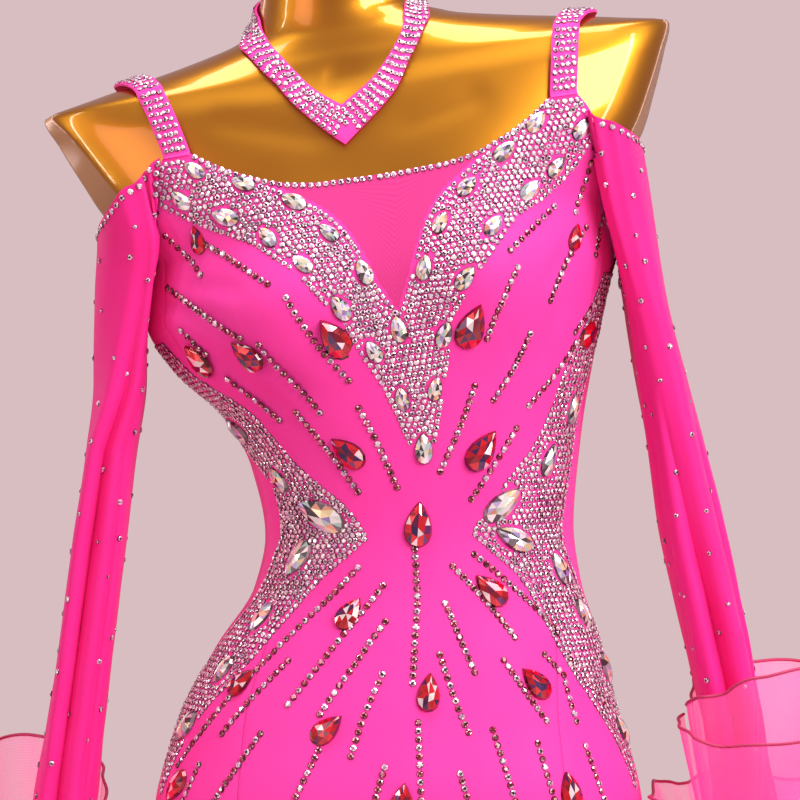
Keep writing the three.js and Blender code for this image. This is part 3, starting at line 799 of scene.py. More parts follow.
def arc_table():
    grid = form_surface(FLAT_HEIGHTS[:, None], FLAT_TURNS[None])
    steps = np.linalg.norm(np.diff(grid, axis=1), axis=-1)
    arcs = np.concatenate([np.zeros((len(grid), 1)), np.cumsum(steps, 1)], 1)
    return arcs - arcs[:, [len(FLAT_TURNS) // 2]]


ARCS = arc_table()


def to_arc(height, turn):
    """Looks the arc up between the four nearest entries of the table."""
    rows = np.clip((height - FLAT_HEIGHTS[0]) / HEIGHT_STEP, 0, len(FLAT_HEIGHTS) - 1.001)
    columns = np.clip((turn - FLAT_TURNS[0]) / TURN_STEP, 0, len(FLAT_TURNS) - 1.001)
    j, i = rows.astype(int), columns.astype(int)
    v, u = rows - j, columns - i
    return ((ARCS[j, i] * (1 - u) + ARCS[j, i + 1] * u) * (1 - v)
            + (ARCS[j + 1, i] * (1 - u) + ARCS[j + 1, i + 1] * u) * v)


def to_turn(height, arc):
    """The turn whose arc is the given one, by Newton's steps."""
    turn = arc / ARC_A_DEGREE
    for _ in range(NEWTON_STEPS):
        slope = (to_arc(height, turn + 1) - to_arc(height, turn - 1)) / 2
        step = (arc - to_arc(height, turn)) / np.maximum(slope, LEAST_SLOPE)
        turn = np.clip(turn + step, -LAST_TURN, LAST_TURN)
    return turn


def laid_flat(points):
    """(turn, height) pairs as (arc, height) pairs."""
    points = np.array(points, float)
    return np.stack([to_arc(points[:, 1], points[:, 0]), points[:, 1]], 1)


def spots_on_flat(flat):
    """Where stones sit on the bodice, by (arc, height) pairs."""
    return spots_on_bodice(to_turn(flat[:, 1], flat[:, 0]), flat[:, 1])


def walk(points, pitch, closed=False):
    """Points at even steps along a run of straight lines."""
    points = np.array(points, float)
    if closed:
        points = np.concatenate([points, points[:1]])
    reach = run_length(points)
    count = max(int(round(reach[-1] / pitch)), 1)
    at = np.linspace(0, reach[-1], count + 1)[:count + (not closed)]
    return np.stack([np.interp(at, reach, points[:, k]) for k in (0, 1)], 1)


def is_inside(points, outline):
    """Counts the outline's edges to the right of each point: an odd count is inside."""
    x, y = points[:, 0, None], points[:, 1, None]
    x0, y0 = outline.T
    x1, y1 = np.roll(outline, -1, 0).T
    rise = np.where(y1 == y0, 1e-9, y1 - y0)
    crosses = ((y0 > y) != (y1 > y)) & (x < (x1 - x0) * (y - y0) / rise + x0)
    return crosses.sum(1) % 2 == 1


def clear_of(points, centres, radius):
    """Which points lie further than the radius from every centre."""
    return (np.linalg.norm(points[:, None] - centres[None], axis=-1) > radius).all(1)


# Shares of the pitch in a packing: its grid's two steps, the jitter, the least distance from
# the outline's own row, and how far the row, the first grid and the pushed stones keep off a
# taken disc. Then a chip's least room and the least distance between two chips.
GRID_ACROSS, GRID_UP, JITTER, OFF_BORDER = 0.97, 0.84, 0.2, 0.66
BORDER_OFF_DISC, GRID_OFF_DISC, PUSHED_OFF_DISC = 0.2, 0.1, 0.5
CHIP_ROOM, CHIP_APART = 0.62, 0.55
PUSHES, PUSH_SHARE = 16, 0.3
CHIP_STEP, CHIP_OFF_DISC = 1.1, 0.8        # millimetres


def grid_over(outline, across, up):
    """Places on a grid that covers an outline's box, as two arrays."""
    low, high = outline.min(0), outline.max(0)
    return np.meshgrid(np.arange(low[0], high[0], across), np.arange(low[1], high[1], up))


def packed(outline, pitch, taken, seed):
    """Close packing inside a flat outline: a row along the outline itself, then a jittered
    triangular grid within, pushed apart until neighbours are about one pitch away, and
    last a chip in every gap left that is wide enough. taken holds (arc, height, radius)
    discs that stay free. Gives the stones' places and then the chips'."""
    rng = np.random.default_rng(seed)
    discs, radius = taken[:, :2], taken[:, 2]
    border = walk(outline, pitch, closed=True)
    x, y = grid_over(outline, pitch * GRID_ACROSS, pitch * GRID_UP)
    x = x + (np.arange(len(x)) % 2)[:, None] * pitch / 2
    jitter = rng.uniform(-JITTER, JITTER, (x.size, 2)) * pitch
    inner = np.stack([x.ravel(), y.ravel()], 1) + jitter
    inner = inner[is_inside(inner, outline) & clear_of(inner, border, OFF_BORDER * pitch)]
    inner = inner[clear_of(inner, discs, radius + GRID_OFF_DISC * pitch)]
    border = border[clear_of(border, discs, radius + BORDER_OFF_DISC * pitch)]
    fixed = np.concatenate([border, discs])
    room = np.concatenate([np.full(len(border), pitch), radius + PUSHED_OFF_DISC * pitch])
    for _ in range(PUSHES):
        away = inner[:, None] - np.concatenate([inner, fixed])[None]
        gap = np.linalg.norm(away, axis=-1) + 1e-9
        want = np.concatenate([np.full(len(inner), pitch), room])[None]
        push = np.clip(want - gap, 0, None) * (gap > 1e-6)
        inner = inner + PUSH_SHARE * (away / gap[..., None] * push[..., None]).sum(1)
    stones = np.concatenate([border, inner[is_inside(inner, outline)]])
    x, y = grid_over(outline, CHIP_STEP, CHIP_STEP)
    spare = np.stack([x.ravel(), y.ravel()], 1)
    spare = spare[is_inside(spare, outline) & clear_of(spare, discs, radius + CHIP_OFF_DISC)]
    room = np.linalg.norm(spare[:, None] - stones[None], axis=-1).min(1)
    spare, room = spare[room > CHIP_ROOM * pitch], room[room > CHIP_ROOM * pitch]
    near = np.linalg.norm(spare[:, None] - spare[None], axis=-1) < CHIP_APART * pitch
    return stones, spare[room >= np.where(near, room[None], 0).max(1)]


def beside(points, distance):
    """A run of points moved to its left by a distance, square to itself."""
    along = unit(np.gradient(points, axis=0))
    return points + distance * np.stack([-along[:, 1], along[:, 0]], 1)


# ---- The stones' layout, in degrees round the form and heights ----------------------------

V_SLIM, SIDE_SLIM = 0.58, 0.5      # widths of the clear drops, as shares of their lengths
END_DISC_LESS, DISC_PROUD = 0.25, 1     # discs under a drop: smaller at its ends, and past it

# The V band's outer edge: (height, degrees to its left, degrees to its right).
V_BAND = (
    (1330, -45.5, 47), (1313, -40.5, 46.5), (1305, -37, 45), (1299, -34, 43), (1291, -29.5, 40),
    (1282, -25.5, 32), (1266, -18, 27), (1251, -13.5, 22), (1236, -10, 18), (1224, -8, 14.5),
    (1210, -7.5, 13.3), (1198, -6.5, 11.3), (1187, -5.8, 9.5), (1173, -4.3, 8), (1160, -3, 6.5),
    (1148, -1.5, 5), (1137, 0.6, 3),
)
# The side bands: (height, inner edge, left band's outer edge, right band's outer edge).
SIDE_BAND = (
    (1238, 73, 92, 92), (1212, 67, 91, 87), (1195, 60, 90, 81), (1178, 55, 88, 75),
    (1160, 51, 79, 71.5), (1146, 47, 70, 70), (1134, 41, 63, 69.5), (1121, 33, 60.5, 68.5),
    (1112, 28, 60.5, 67.5), (1099, 22.5, 60.5, 65.5), (1089, 19, 61.5, 64), (1076, 27, 66, 65),
    (1063, 35.5, 68, 70), (1050, 41, 72, 75), (1036, 44, 75, 79), (1020, 47.5, 78, 83),
    (1006, 51, 81, 86), (992, 55.5, 86, 87), (978, 61, 88, 87), (965, 65.5, 88, 86),
    (950, 70, 85, 84), (932, 73.5, 81, 80.5), (918, 76, 78, 78),
)
# Rays of round stones, each a run of (turn, height).
RAYS = (
    ((-43, 1296), (-25.5, 1262)), ((-54, 1308), (-47, 1276)), ((-21, 1252), (-14.5, 1196)),
    ((-63, 1272), (-37, 1233)), ((-32.5, 1227), (-28, 1178)), ((-57, 1244), (-53, 1227)),
    ((-52, 1210), (-45, 1177)), ((-36.5, 1180), (-21, 1121)), ((-15, 1177), (-7, 1122)),
    ((45, 1285), (30.5, 1260)), ((52.5, 1312), (54, 1280)), ((73, 1284), (64, 1251)),
    ((59, 1269), (45, 1226)), ((32.5, 1249), (24, 1209)), ((88, 1248), (79.5, 1238)),
    ((70, 1222), (59, 1205)), ((38, 1208), (25.5, 1171)), ((60, 1199), (39.5, 1165)),
    ((19, 1181), (7, 1130)), ((35, 1152), (18, 1111)),
    ((-21, 1069), (-37.5, 1026), (-45, 1003), (-57, 967), (-68, 937)), ((-11, 1057), (-29, 980)),
    ((-7.5, 1033), (-19, 974)), ((-18, 951), (-24, 912)), ((-5, 999), (-10, 947)),
    ((-34.5, 1008), (-49.5, 960)), ((-35.5, 961), (-48, 912)), ((-2.5, 940), (-5, 912)),
    ((-56, 939), (-60, 915)),
    ((19, 1075), (50, 1021)), ((11, 1068), (31.5, 1020)), ((8.5, 1044), (18, 999)),
    ((8, 1011), (16, 961)), ((27, 1006), (39.5, 966)), ((42, 1008), (49, 994), (51, 964)),
    ((52, 1007), (69, 973)), ((22.5, 962), (26.5, 912)), ((35, 952), (37.5, 912)),
    ((52, 948), (55.5, 910)), ((13, 935), (15, 912)),
    ((-1.5, 1080), (2, 993)), ((4, 968), (4.2, 914)),
)
# Drops in the bodice: turn and height of the tip, then of the foot, and the length.
RED_DROPS = np.array((
    (-42, 1310, -47, 1291, 20), (-40, 1230, -36, 1214, 27), (-14, 1236, -11, 1210, 31),
    (-59, 1234, -57, 1214, 27), (23, 1230, 17, 1205, 32), (27, 1152, 17, 1129, 31),
    (0, 1111, -1, 1082, 31), (74, 1211, 63, 1197, 26), (55, 1273, 52, 1254, 19),
    (-28, 1159, -18, 1138, 28), (-18, 1050, -22, 1027, 25), (-46, 1001, -53, 986, 25),
    (-12, 976, -21, 953, 26), (1, 930, 0, 905, 27), (19, 1061, 30, 1042, 28),
    (33, 1000, 42, 981, 27), (42, 934, 43, 908, 27), (6, 999, 6, 975, 26),
    (-68, 914, -62, 933, 26)), float)
SIDE_DROPS = np.array((
    (-82, 1182, -68, 1166, 28), (-62, 1143, -53, 1126, 23), (-47, 1116, -27, 1095, 37),
    (-54, 1064, -44, 1087, 30), (-59, 1025, -57, 1044, 25), (-65, 991, -60, 1009, 24),
    (-76, 952, -66, 972, 28), (66, 1168, 65, 1151, 22), (55, 1139, 50, 1122, 24),
    (38, 1115, 23, 1097, 32), (28, 1090, 44, 1078, 30), (56, 1072, 64, 1052, 26),
    (66, 1040, 74, 1022, 25), (76, 1006, 83, 983, 27), (76, 965, 82, 944, 26)), float)
V_DROPS = np.array((
    (-31, 1349, -28, 1339, 17), (-23, 1334, -19, 1326, 18), (-38, 1333, -38, 1321, 17),
    (-34, 1315, -29, 1307, 21), (-16, 1317, -13, 1308, 19), (-12, 1294, -9, 1284, 17),
    (-26, 1298, -24, 1286, 18), (-19, 1276, -15, 1266, 17), (-4, 1268, -2, 1253, 19),
    (-10, 1247, -8, 1234, 20), (-5, 1218, -4, 1204, 17), (2, 1230, 2, 1214, 19),
    (-2, 1186, -2, 1172, 17), (8, 1189, 6, 1176, 17), (14, 1222, 11, 1208, 19),
    (10, 1264, 9, 1250, 18), (21, 1253, 17, 1241, 19), (14, 1290, 12, 1277, 17),
    (28, 1282, 24, 1271, 18), (19, 1310, 16, 1299, 18), (37, 1303, 33, 1292, 19),
    (24, 1329, 21, 1319, 19), (41, 1317, 39, 1305, 18), (29, 1345, 27, 1335, 18),
    (42.5, 1338, 41, 1327, 17), (2, 1154, 2, 1137, 21)), float)

# Colours painted on the facets of each part of a stone: the stone's own tint with painted
# reflections, white glints and dark or coloured facets that stand for what each facet
# mirrors, and on the edge a dark ring that is partly the foil's rim and partly painted
# shade where the stone meets the cloth. One listed twice shows twice as often.
CLEAR_REFLECTIONS = {"edge": ("3A1028", "5E2344", "A03C70", "7A3358"),
         "crown": ("FFFFFF", "FFFFFF", "FFF4FA", "E8D0E4", "C89CC4", "8E6A8C", "54344C", "B088C0"),
         "table": ("4A3044", "8A6C86", "E0CEE0", "FFFFFF", "2E1A2A", "C8A0CC")}
RAINBOW_REFLECTIONS = {"edge": ("7A6470", "4A3440", "A08C98"),
           "crown": ("FFFFFF", "FFFFFF", "E4EEEA", "B8E4DC", "F0E2B0", "CDBDF4", "6E6A72",
                     "3E3A44", "E8A890", "A8B4B8"),
           "table": ("FFFFFF", "F4FAF8", "C4E6E0", "FFF2C4", "A898DC", "4C4850")}
WINE_TINT_AND_REFLECTIONS = {"edge": ("30030F", "4A081C"),
        "crown": ("8C0C2C", "5E0820", "3E0616", "C86488", "A01C44", "FFDCEA"),
        "table": ("5A061C", "3A0414", "8E1434", "D87C9C")}
RED_TINT_AND_REFLECTIONS = {"edge": ("8A0414", "A80820", "560410"),
       "crown": ("D4041C", "C0081E", "E80C28", "8E0626", "FFF4F8", "D0102C", "6A1E6E", "E4142C",
                 "42185A", "B00420"),
       "table": ("C00820", "8C0A28", "3A205A", "FFF6FA", "6A1446", "E01430")}


def middles(rows):
    """Turn and height of each drop's middle."""
    return (rows[:, :2] + rows[:, 2:4]) / 2


def drop_spots(rows):
    """Where drops sit and how far each leans from the cloth's up towards its right."""
    tip, foot = (form_surface(rows[:, k + 1], rows[:, k]) for k in (0, 2))
    spots = spots_on_bodice(*middles(rows).T)
    way = tip - foot
    lean = np.degrees(np.arctan2((way * spots[1]).sum(1), (way * spots[2]).sum(1)))
    return spots, lean


def discs_under(rows, slim):
    """Three discs along each drop, which keep the small stones off it."""
    half_long = rows[:, 4] / 2
    half_wide = half_long * slim
    middle = laid_flat(middles(rows))
    way = unit(laid_flat(rows[:, :2]) - middle) * (half_long - half_wide)[:, None]
    return np.concatenate([
        np.column_stack([middle + way * k, half_wide * (1 - END_DISC_LESS * abs(k)) + DISC_PROUD])
        for k in (-1, 0, 1)])


# ---- Materials ---------------------------------------------------------------------------


def add_node(tree, kind, inputs=None, out=0, **settings):
    """Adds a node with its settings and gives its output of the name or number out. An
    input is linked where it is given a socket and set where it is given a value; a colour
    of three gets an alpha of one."""
    node = tree.nodes.new("ShaderNode" + kind)
    for name, value in settings.items():
        setattr(node, name, value)
    for name, value in (inputs or {}).items():
        socket = node.inputs[name]
        if isinstance(value, bpy.types.NodeSocket):
            tree.links.new(value, socket)
        elif socket.type == "RGBA":
            socket.default_value = (*tuple(value)[:3], 1)
        else:
            socket.default_value = value
    return node.outputs[out] if node.outputs else None


def wave_scale(period):
    """The Wave texture's scale for a period in metres: its phase is 20 x scale x distance."""
    return 2 * np.pi / (20 * period)


def knitted_crepe(tree, main, deep):
    """Polyester and elastane stretch crepe, knitted and dyed: an even matt face with a soft
    bloom, and a fine uneven grain. The 0.4 mm grain is drawn at 1.3 mm, the finest that
    shows."""
    place = add_node(tree, "TexCoord", out="UV")
    grain = add_node(tree, "TexNoise", {"Vector": place, "Scale": 1 / 0.0013, "Detail": 2.0})
    rib = add_node(tree, "TexWave", {"Vector": place, "Scale": wave_scale(0.0013),
                                     "Distortion": 1.5}, "Fac")
    both = add_node(tree, "Math", {0: grain, 1: rib}, operation="ADD")
    cloud = add_node(tree, "TexNoise", {"Vector": place, "Scale": 1 / 0.06, "Detail": 3.0})
    colour = add_node(tree, "Mix", {0: cloud, 6: main, 7: deep}, 2, data_type="RGBA")
    bump = add_node(tree, "Bump", {"Height": both, "Strength": 0.12, "Distance": 0.0003})
    return add_node(tree, "BsdfPrincipled", {
        "Base Color": colour, "Roughness": 0.55, "IOR": 1.5, "Specular IOR Level": 0.25,
        "Specular Tint": linear("FFB4E4"), "Sheen Weight": 0.05, "Sheen Roughness": 0.5,
        "Sheen Tint": linear("FF80D0"), "Normal": bump})


def stretch_crepe(tree, colours):
    """The bodice's and the skirt's crepe."""
    return knitted_crepe(tree, colours.crepe, colours.crepe_deep)


def shaded_crepe(tree, colours):
    """The sleeves' crepe: the bodice's cloth in a deeper, redder pink, which is painted shade
    for the lower light that the sleeves hang in.
    """
    return knitted_crepe(tree, colours.sleeve, colours.sleeve_deep)


def two_ways(tree, period):
    """Waves across and along the cloth, as its two yarns run."""
    place = add_node(tree, "TexCoord", out="UV")
    return [add_node(tree, "TexWave", {"Vector": place, "Scale": wave_scale(period)}, "Fac",
                     bands_direction=way) for way in "XY"]


def power_mesh(tree, colours):
    """Nylon power mesh, warp-knitted and doubled: duller than the crepe, with a faint net of
    holes. The 0.7 mm net is drawn at 1.5 mm."""
    across, along = two_ways(tree, 0.0015)
    net = add_node(tree, "Math", {0: across, 1: along}, operation="MULTIPLY")
    colour = add_node(tree, "Mix", {0: net, 6: colours.mesh_deep, 7: colours.mesh}, 2,
                      data_type="RGBA")
    bump = add_node(tree, "Bump", {"Height": net, "Strength": 0.1, "Distance": 0.0003})
    return add_node(tree, "BsdfPrincipled", {
        "Base Color": colour, "Roughness": 0.75, "Specular IOR Level": 0.2, "Normal": bump})


def organza(tree, colours):
    """Polyester organza, plain-woven from fine stiff yarns: crisp and sheer. It glows a little,
    which is painted light standing for the light that passes through its layers, so it
    deepens where layers lie over each other. The 0.25 mm weave is drawn at 1.2 mm."""
    across, along = two_ways(tree, 0.0012)
    weave = add_node(tree, "Math", {0: across, 1: along}, operation="ADD")
    cover = add_node(tree, "MapRange", {"Value": weave, "From Max": 2.0, "To Min": 0.18,
                                        "To Max": 0.3})
    edge = add_node(tree, "LayerWeight", {"Blend": 0.35}, "Facing")
    thick = add_node(tree, "Math", {0: edge, 1: 0.4, 2: cover}, operation="MULTIPLY_ADD",
                     use_clamp=True)
    # The emission is painted light for what passes through the sheer layers.
    return add_node(tree, "BsdfPrincipled", {
        "Base Color": colours.organza, "Roughness": 0.5, "Specular IOR Level": 0.2,
        "Emission Color": colours.organza_painted_glow, "Emission Strength": 0.25, "Alpha": thick})


def corded_edge(tree, colours):
    """Nylon cord caught in a rolled organza edge with close satin stitches: a darker, denser
    line with slanting threads 0.6 mm apart, drawn at 1.2 mm."""
    place = add_node(tree, "TexCoord", out="Object")
    thread = add_node(tree, "TexWave", {"Vector": place, "Scale": wave_scale(0.0012)}, "Fac",
                      bands_direction="DIAGONAL")
    bump = add_node(tree, "Bump", {"Height": thread, "Strength": 0.4, "Distance": 0.0003})
    colour = add_node(tree, "Mix", {0: thread, 6: colours.organza_edge,
                                    7: colours.organza_deep}, 2, data_type="RGBA")
    return add_node(tree, "BsdfPrincipled", {
        "Base Color": colour, "Roughness": 0.5, "Normal": bump})


def gold_lacquer(tree, colours):
    """Fibreglass sprayed with gold metallic lacquer under clear coat: deep amber with broad
    mirror-like lights, a faint 1.5 mm orange peel and slow changes in gloss."""
    place = add_node(tree, "TexCoord", out="Object")
    peel = add_node(tree, "TexNoise", {"Vector": place, "Scale": 1 / 0.0015, "Detail": 1.0})
    cloud = add_node(tree, "TexNoise", {"Vector": place, "Scale": 1 / 0.08, "Detail": 4.0})
    gloss = add_node(tree, "MapRange", {"Value": cloud, "To Min": 0.3, "To Max": 0.4})
    bump = add_node(tree, "Bump", {"Height": peel, "Strength": 0.02, "Distance": 0.0002})
    colour = add_node(tree, "Mix", {0: cloud, 6: colours.gold, 7: colours.gold_deep}, 2,
                      data_type="RGBA")
    return add_node(tree, "BsdfPrincipled", {
        "Base Color": colour, "Metallic": 1.0, "Roughness": gloss, "Coat Weight": 1.0,
        "Coat IOR": 1.5, "Coat Roughness": 0.07, "Normal": bump})


def foiled_crystal(tree, colours):
    """Lead-free crystal glass, machine-cut, with a mirror foil behind and a vapour coating
    in front. The facets' colours are in the stones' meshes: painted reflections, each facet
    with one fixed light, dark or tinted colour, and a dark ring round the edge that is partly
    the foil's rim and partly painted shade."""
    colour = add_node(tree, "Attribute", attribute_name="facet")
    return add_node(tree, "BsdfPrincipled", {
        "Base Color": colour, "Metallic": 0.45, "Roughness": 0.16, "Coat Weight": 1.0,
        "Coat Roughness": 0.03, "Coat IOR": 1.6})


def studio_floor(tree, colours):
    """Painted board, rolled: plain and pale, faintly mottled, fading out at its rim."""
    place = add_node(tree, "TexCoord", out="Object")
    cloud = add_node(tree, "TexNoise", {"Vector": place, "Scale": 1 / 0.3})
    rough = add_node(tree, "MapRange", {"Value": cloud, "To Min": 0.8, "To Max": 0.95})
    radius = add_node(tree, "VectorMath", {0: place}, "Value", operation="LENGTH")
    fade = add_node(tree, "MapRange", {"Value": radius, "From Min": 1.6, "From Max": 2.9,
                                       "To Min": 1.0, "To Max": 0.0},
                    interpolation_type="SMOOTHSTEP")
    return add_node(tree, "BsdfPrincipled", {
        "Base Color": colours.floor, "Roughness": rough, "Specular IOR Level": 0.1,
        "Alpha": fade})


FINISHES = {make.__name__: make for make in (
    stretch_crepe, shaded_crepe, power_mesh, organza, corded_edge, gold_lacquer, studio_floor)}
MATERIALS = {}


def finish_of(name):
    """A finish's material, which is made once. A crystal's name starts with its tint."""
    if name not in MATERIALS:
        material = MATERIALS[name] = bpy.data.materials.new(name)
        material.use_nodes = True
        tree = material.node_tree
        tree.nodes.clear()
        make = FINISHES.get(name, foiled_crystal)
        surface = make(tree, bpy.context.scene.gown_colours)
        add_node(tree, "OutputMaterial", {"Surface": surface})
    return MATERIALS[name]


# ---- What a user can change --------------------------------------------------------------


def colour_property(name, description, code):
    return FloatVectorProperty(name=name, description=description, subtype="COLOR", size=3,
                               min=0, max=1, default=linear(code))


def length_property(name, description, default, least, most):
    return FloatProperty(name=name, description=description, default=default, min=least,
                         max=most, unit="LENGTH")


class GownSizes(PropertyGroup):
    """Sizes of the gown's trimmings."""

    ray_stone: length_property(
        "Ray stone", "Diameter of the round stones in the rays", 0.005, 0.002, 0.01)
    ray_pitch: length_property(
        "Ray pitch", "Distance between the stones of a ray", 0.0053, 0.003, 0.02)
    band_stone: length_property(
        "Band stone", "Diameter of the largest small stones in the bands", 0.0045, 0.002, 0.01)
    band_pitch: length_property(
        "Band pitch", "Distance between neighbouring stones in the bands", 0.0042, 0.003, 0.02)
    cord: length_property(
        "Edge cord", "Radius of the cord in the cuffs' edges", 0.0011, 0.0005, 0.004)
    sleeve_rows: IntProperty(
        name="Sleeve rows", description="Rows of scattered stones down each sleeve",
        default=18, min=4, max=60)


class GownColours(PropertyGroup):
    """Colours of the gown, its form and the studio."""

    crepe: colour_property("Crepe", "The stretch crepe's main pink", "F84AB4")
    crepe_deep: colour_property("Crepe, deep", "The crepe's slow variation", "F440AA")
    # The sleeves' two pinks are deeper and redder than the crepe's: painted shade, on the same
    # cloth.
    sleeve: colour_property("Sleeve", "The sleeves' lighter crepe", "F43098")
    sleeve_deep: colour_property("Sleeve, deep", "Its slow variation", "EC288C")
    mesh: colour_property("Mesh", "The neck inset's yarn", "DE4296")
    mesh_deep: colour_property("Mesh, deep", "The neck inset's holes", "CC3684")
    organza: colour_property("Organza", "The sheer cuffs", "FF80CA")
    # The organza's glow is painted light: an emission that stands for the light passing through the
    # sheer layers.
    organza_painted_glow: colour_property("Organza glow", "What the dyed yarns give back", "FF58B4")
    organza_edge: colour_property("Cuff edge", "The cord in the cuffs' edges", "C8406E")
    organza_deep: colour_property("Cuff edge, deep", "Between its stitches", "B02C62")
    gold: colour_property("Gold", "The form's lacquer", "D09024")
    gold_deep: colour_property("Gold, deep", "The lacquer's slow variation", "C4841C")
    floor: colour_property("Floor", "The studio floor", "DCC6CA")
    backdrop: colour_property("Backdrop", "What lies behind the gown", "D8BEC1")


# ---- Operators ---------------------------------------------------------------------------


CAMERA_PLACE, CAMERA_LENS, CAMERA_SENSOR = (0, -2.6, 1.177), 174.63, 36
ROOM, ROOM_STRENGTH = "D0ACAC", 0.6
CHEST = Vector((0, 0, 1.15))         # where the softboxes point
# Softboxes: place, width, height, power in watts and colour.
SOFTBOXES = {
    "key": ((1.8, -2.1, 2.6), 1.6, 1.5, 74, "FFF6F4"),
    "fill": ((-1.9, -2.0, 1.7), 1.2, 1.8, 13, "FFD0C8"),
    "strip_left": ((-2.3, -0.75, 1.8), 0.06, 2.4, 9, "FFFAF0"),
    "strip_right": ((1.9, -1.2, 1.9), 0.1, 2.4, 12, "FFFAF0"),
    "top": ((0, -0.4, 3.3), 2.0, 1.2, 44, "FFFFFF"),
    "rim_left": ((-1.5, 1.5, 1.7), 0.3, 2.0, 4, "FFF0F4"),
    "rim_right": ((1.5, 1.5, 1.7), 0.3, 2.0, 5, "FFF0F4"),
}
FLOOR_RINGS, FLOOR_COLUMNS = np.array([200, 1000, 2000, 3000.0]), 96


class GOWN_OT_stage(Operator):
    """Sets up the camera, the studio lights, the backdrop colour and the floor"""

    bl_idname = "gown.make_stage"
    bl_label = "Stage"

    def execute(self, context):
        scene, colours = context.scene, context.scene.gown_colours
        scene.view_settings.view_transform = "Standard"
        camera = bpy.data.objects.new("camera", bpy.data.cameras.new("camera"))
        camera.data.lens, camera.data.sensor_width = CAMERA_LENS, CAMERA_SENSOR
        camera.location = CAMERA_PLACE
        camera.rotation_euler = (np.pi / 2, 0, 0)
        scene.collection.objects.link(camera)
        scene.camera = camera

        world = bpy.data.worlds.new("studio")
        world.use_nodes = True
        tree = world.node_tree
        tree.nodes.clear()
        seen = add_node(tree, "LightPath", out="Is Camera Ray")
        plain = add_node(tree, "Background", {"Color": colours.backdrop})
        room = add_node(tree, "Background", {"Color": linear(ROOM), "Strength": ROOM_STRENGTH})
        both = add_node(tree, "MixShader", {0: seen, 1: room, 2: plain})
        add_node(tree, "OutputWorld", {"Surface": both})
        scene.world = world

        for name, (place, width, height, power, code) in SOFTBOXES.items():
            light = bpy.data.lights.new(name, "AREA")
            light.shape = "RECTANGLE"
            light.size, light.size_y = width, height
            light.energy, light.color = power, linear(code)
            lamp = bpy.data.objects.new(name, light)
            lamp.location = place
            lamp.rotation_euler = (CHEST - Vector(place)).to_track_quat("-Z", "Y").to_euler()
            scene.collection.objects.link(lamp)

        angle = np.linspace(0, 2 * np.pi, FLOOR_COLUMNS, endpoint=False)
        radius, rows = FLOOR_RINGS[:, None], len(FLOOR_RINGS)
        rings = np.stack([radius * np.cos(angle), radius * np.sin(angle), 0 * radius * angle], -1)
        points = np.concatenate([rings.reshape(-1, 3), [[0, 0, 0]]])
        quads = grid_quads(FLOOR_COLUMNS, rows - 1, FLOOR_COLUMNS)[:, TURNED]
        k = np.arange(FLOOR_COLUMNS)
        fan = np.stack([np.full(FLOOR_COLUMNS, len(points) - 1), k, (k + 1) % FLOOR_COLUMNS], 1)
        totals = np.concatenate([np.full(len(quads), 4), np.full(len(fan), 3)])
        floor = make_piece("floor", points, np.concatenate([quads.ravel(), fan.ravel()]), totals,
                           finish_of("studio_floor"), sharp=FLOOR_CREASE)
        return {"FINISHED"}


class GOWN_OT_form(Operator):
    """Makes the lacquered dress form and finishes its stand"""

    bl_idname = "gown.make_form"
    bl_label = "Dress form and stand"

    def execute(self, context):
        gold = finish_of("gold_lacquer")
        turns = np.arange(FORM_COLUMNS)[None] * (360 / FORM_COLUMNS)
        heights = np.concatenate([[FORM_BOTTOM], np.arange(803, 1380, 4.0),
                                  np.arange(1380, NECK_TOP - 1, 2.0), [NECK_TOP]])
        torso = solid_rings("dress_form", modelled_form(heights[:, None], turns), gold)
        rise, scale = np.array(CAP_RINGS).T[..., None]
        rings = form_surface(NECK_TOP + CAP_GAP + rise, turns)
        spine = rings.mean(1, keepdims=True)
        cap = solid_rings("neck_cap", spine + (rings - spine) * scale[..., None], gold)
        for piece, node in ((torso, "form_torso"), (cap, "form_neck_cap")):
            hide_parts(node)

        for name in ("stand_pole", "stand_base"):
            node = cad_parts[name]
            node.data.materials.clear()
            node.data.materials.append(gold)
        return {"FINISHED"}


# Creases in the bodice: (turn, height) of both ends, depth and half width in millimetres.
CREASES = (
    (-50, 1232, -40, 1196, 2.2, 7), (-58, 1216, -49, 1176, 2.4, 7), (-72, 1262, -52, 1243, 2.6, 6),
    (-74, 1240, -58, 1214, 2.4, 6), (-64, 1270, -46, 1262, 1.8, 5),
    (66, 1262, 56, 1238, 1.2, 6), (42, 1212, 44.5, 1186, 0.6, 2.5), (60, 1222, 52, 1190, 1.0, 6),
    (-70, 1110, -50, 1104, 0.6, 7), (72, 1108, 56, 1100, 0.6, 7), (-76, 1090, -60, 1094, 0.6, 6),
    (150, 1110, 128, 1100, 0.8, 7), (-150, 1108, -126, 1098, 0.8, 7),
    (168, 1076, 140, 1070, 0.7, 8), (-166, 1080, -138, 1072, 0.7, 8),
    (160, 1045, 138, 1036, 0.5, 8), (-160, 1048, -136, 1040, 0.5, 8),
)
# Seams: depth and half width of the channel, then the puckers' number, distance and width.
CHANNEL_DEEP, CHANNEL_WIDE = 0.55, 1.6
PUCKERS, PUCKER_AWAY, PUCKER_WIDE = 44, 4, 4


def crease_relief(height, turn):
    """Each crease is a bell across the line between its ends, and it fades past them."""
    flat = np.stack([to_arc(height, turn), height], -1)
    lift = np.zeros(np.shape(height))
    for turn_a, height_a, turn_b, height_b, deep, wide in CREASES:
        a, b = laid_flat(((turn_a, height_a), (turn_b, height_b)))
        way = b - a
        share = ((flat - a) @ way) / (way @ way)
        foot = a + np.clip(share, 0, 1)[..., None] * way
        lift = lift - deep * bell(np.linalg.norm(flat - foot, axis=-1), wide) \
            * np.clip(1.2 - np.abs(share - 0.5), 0, 1)
    return lift


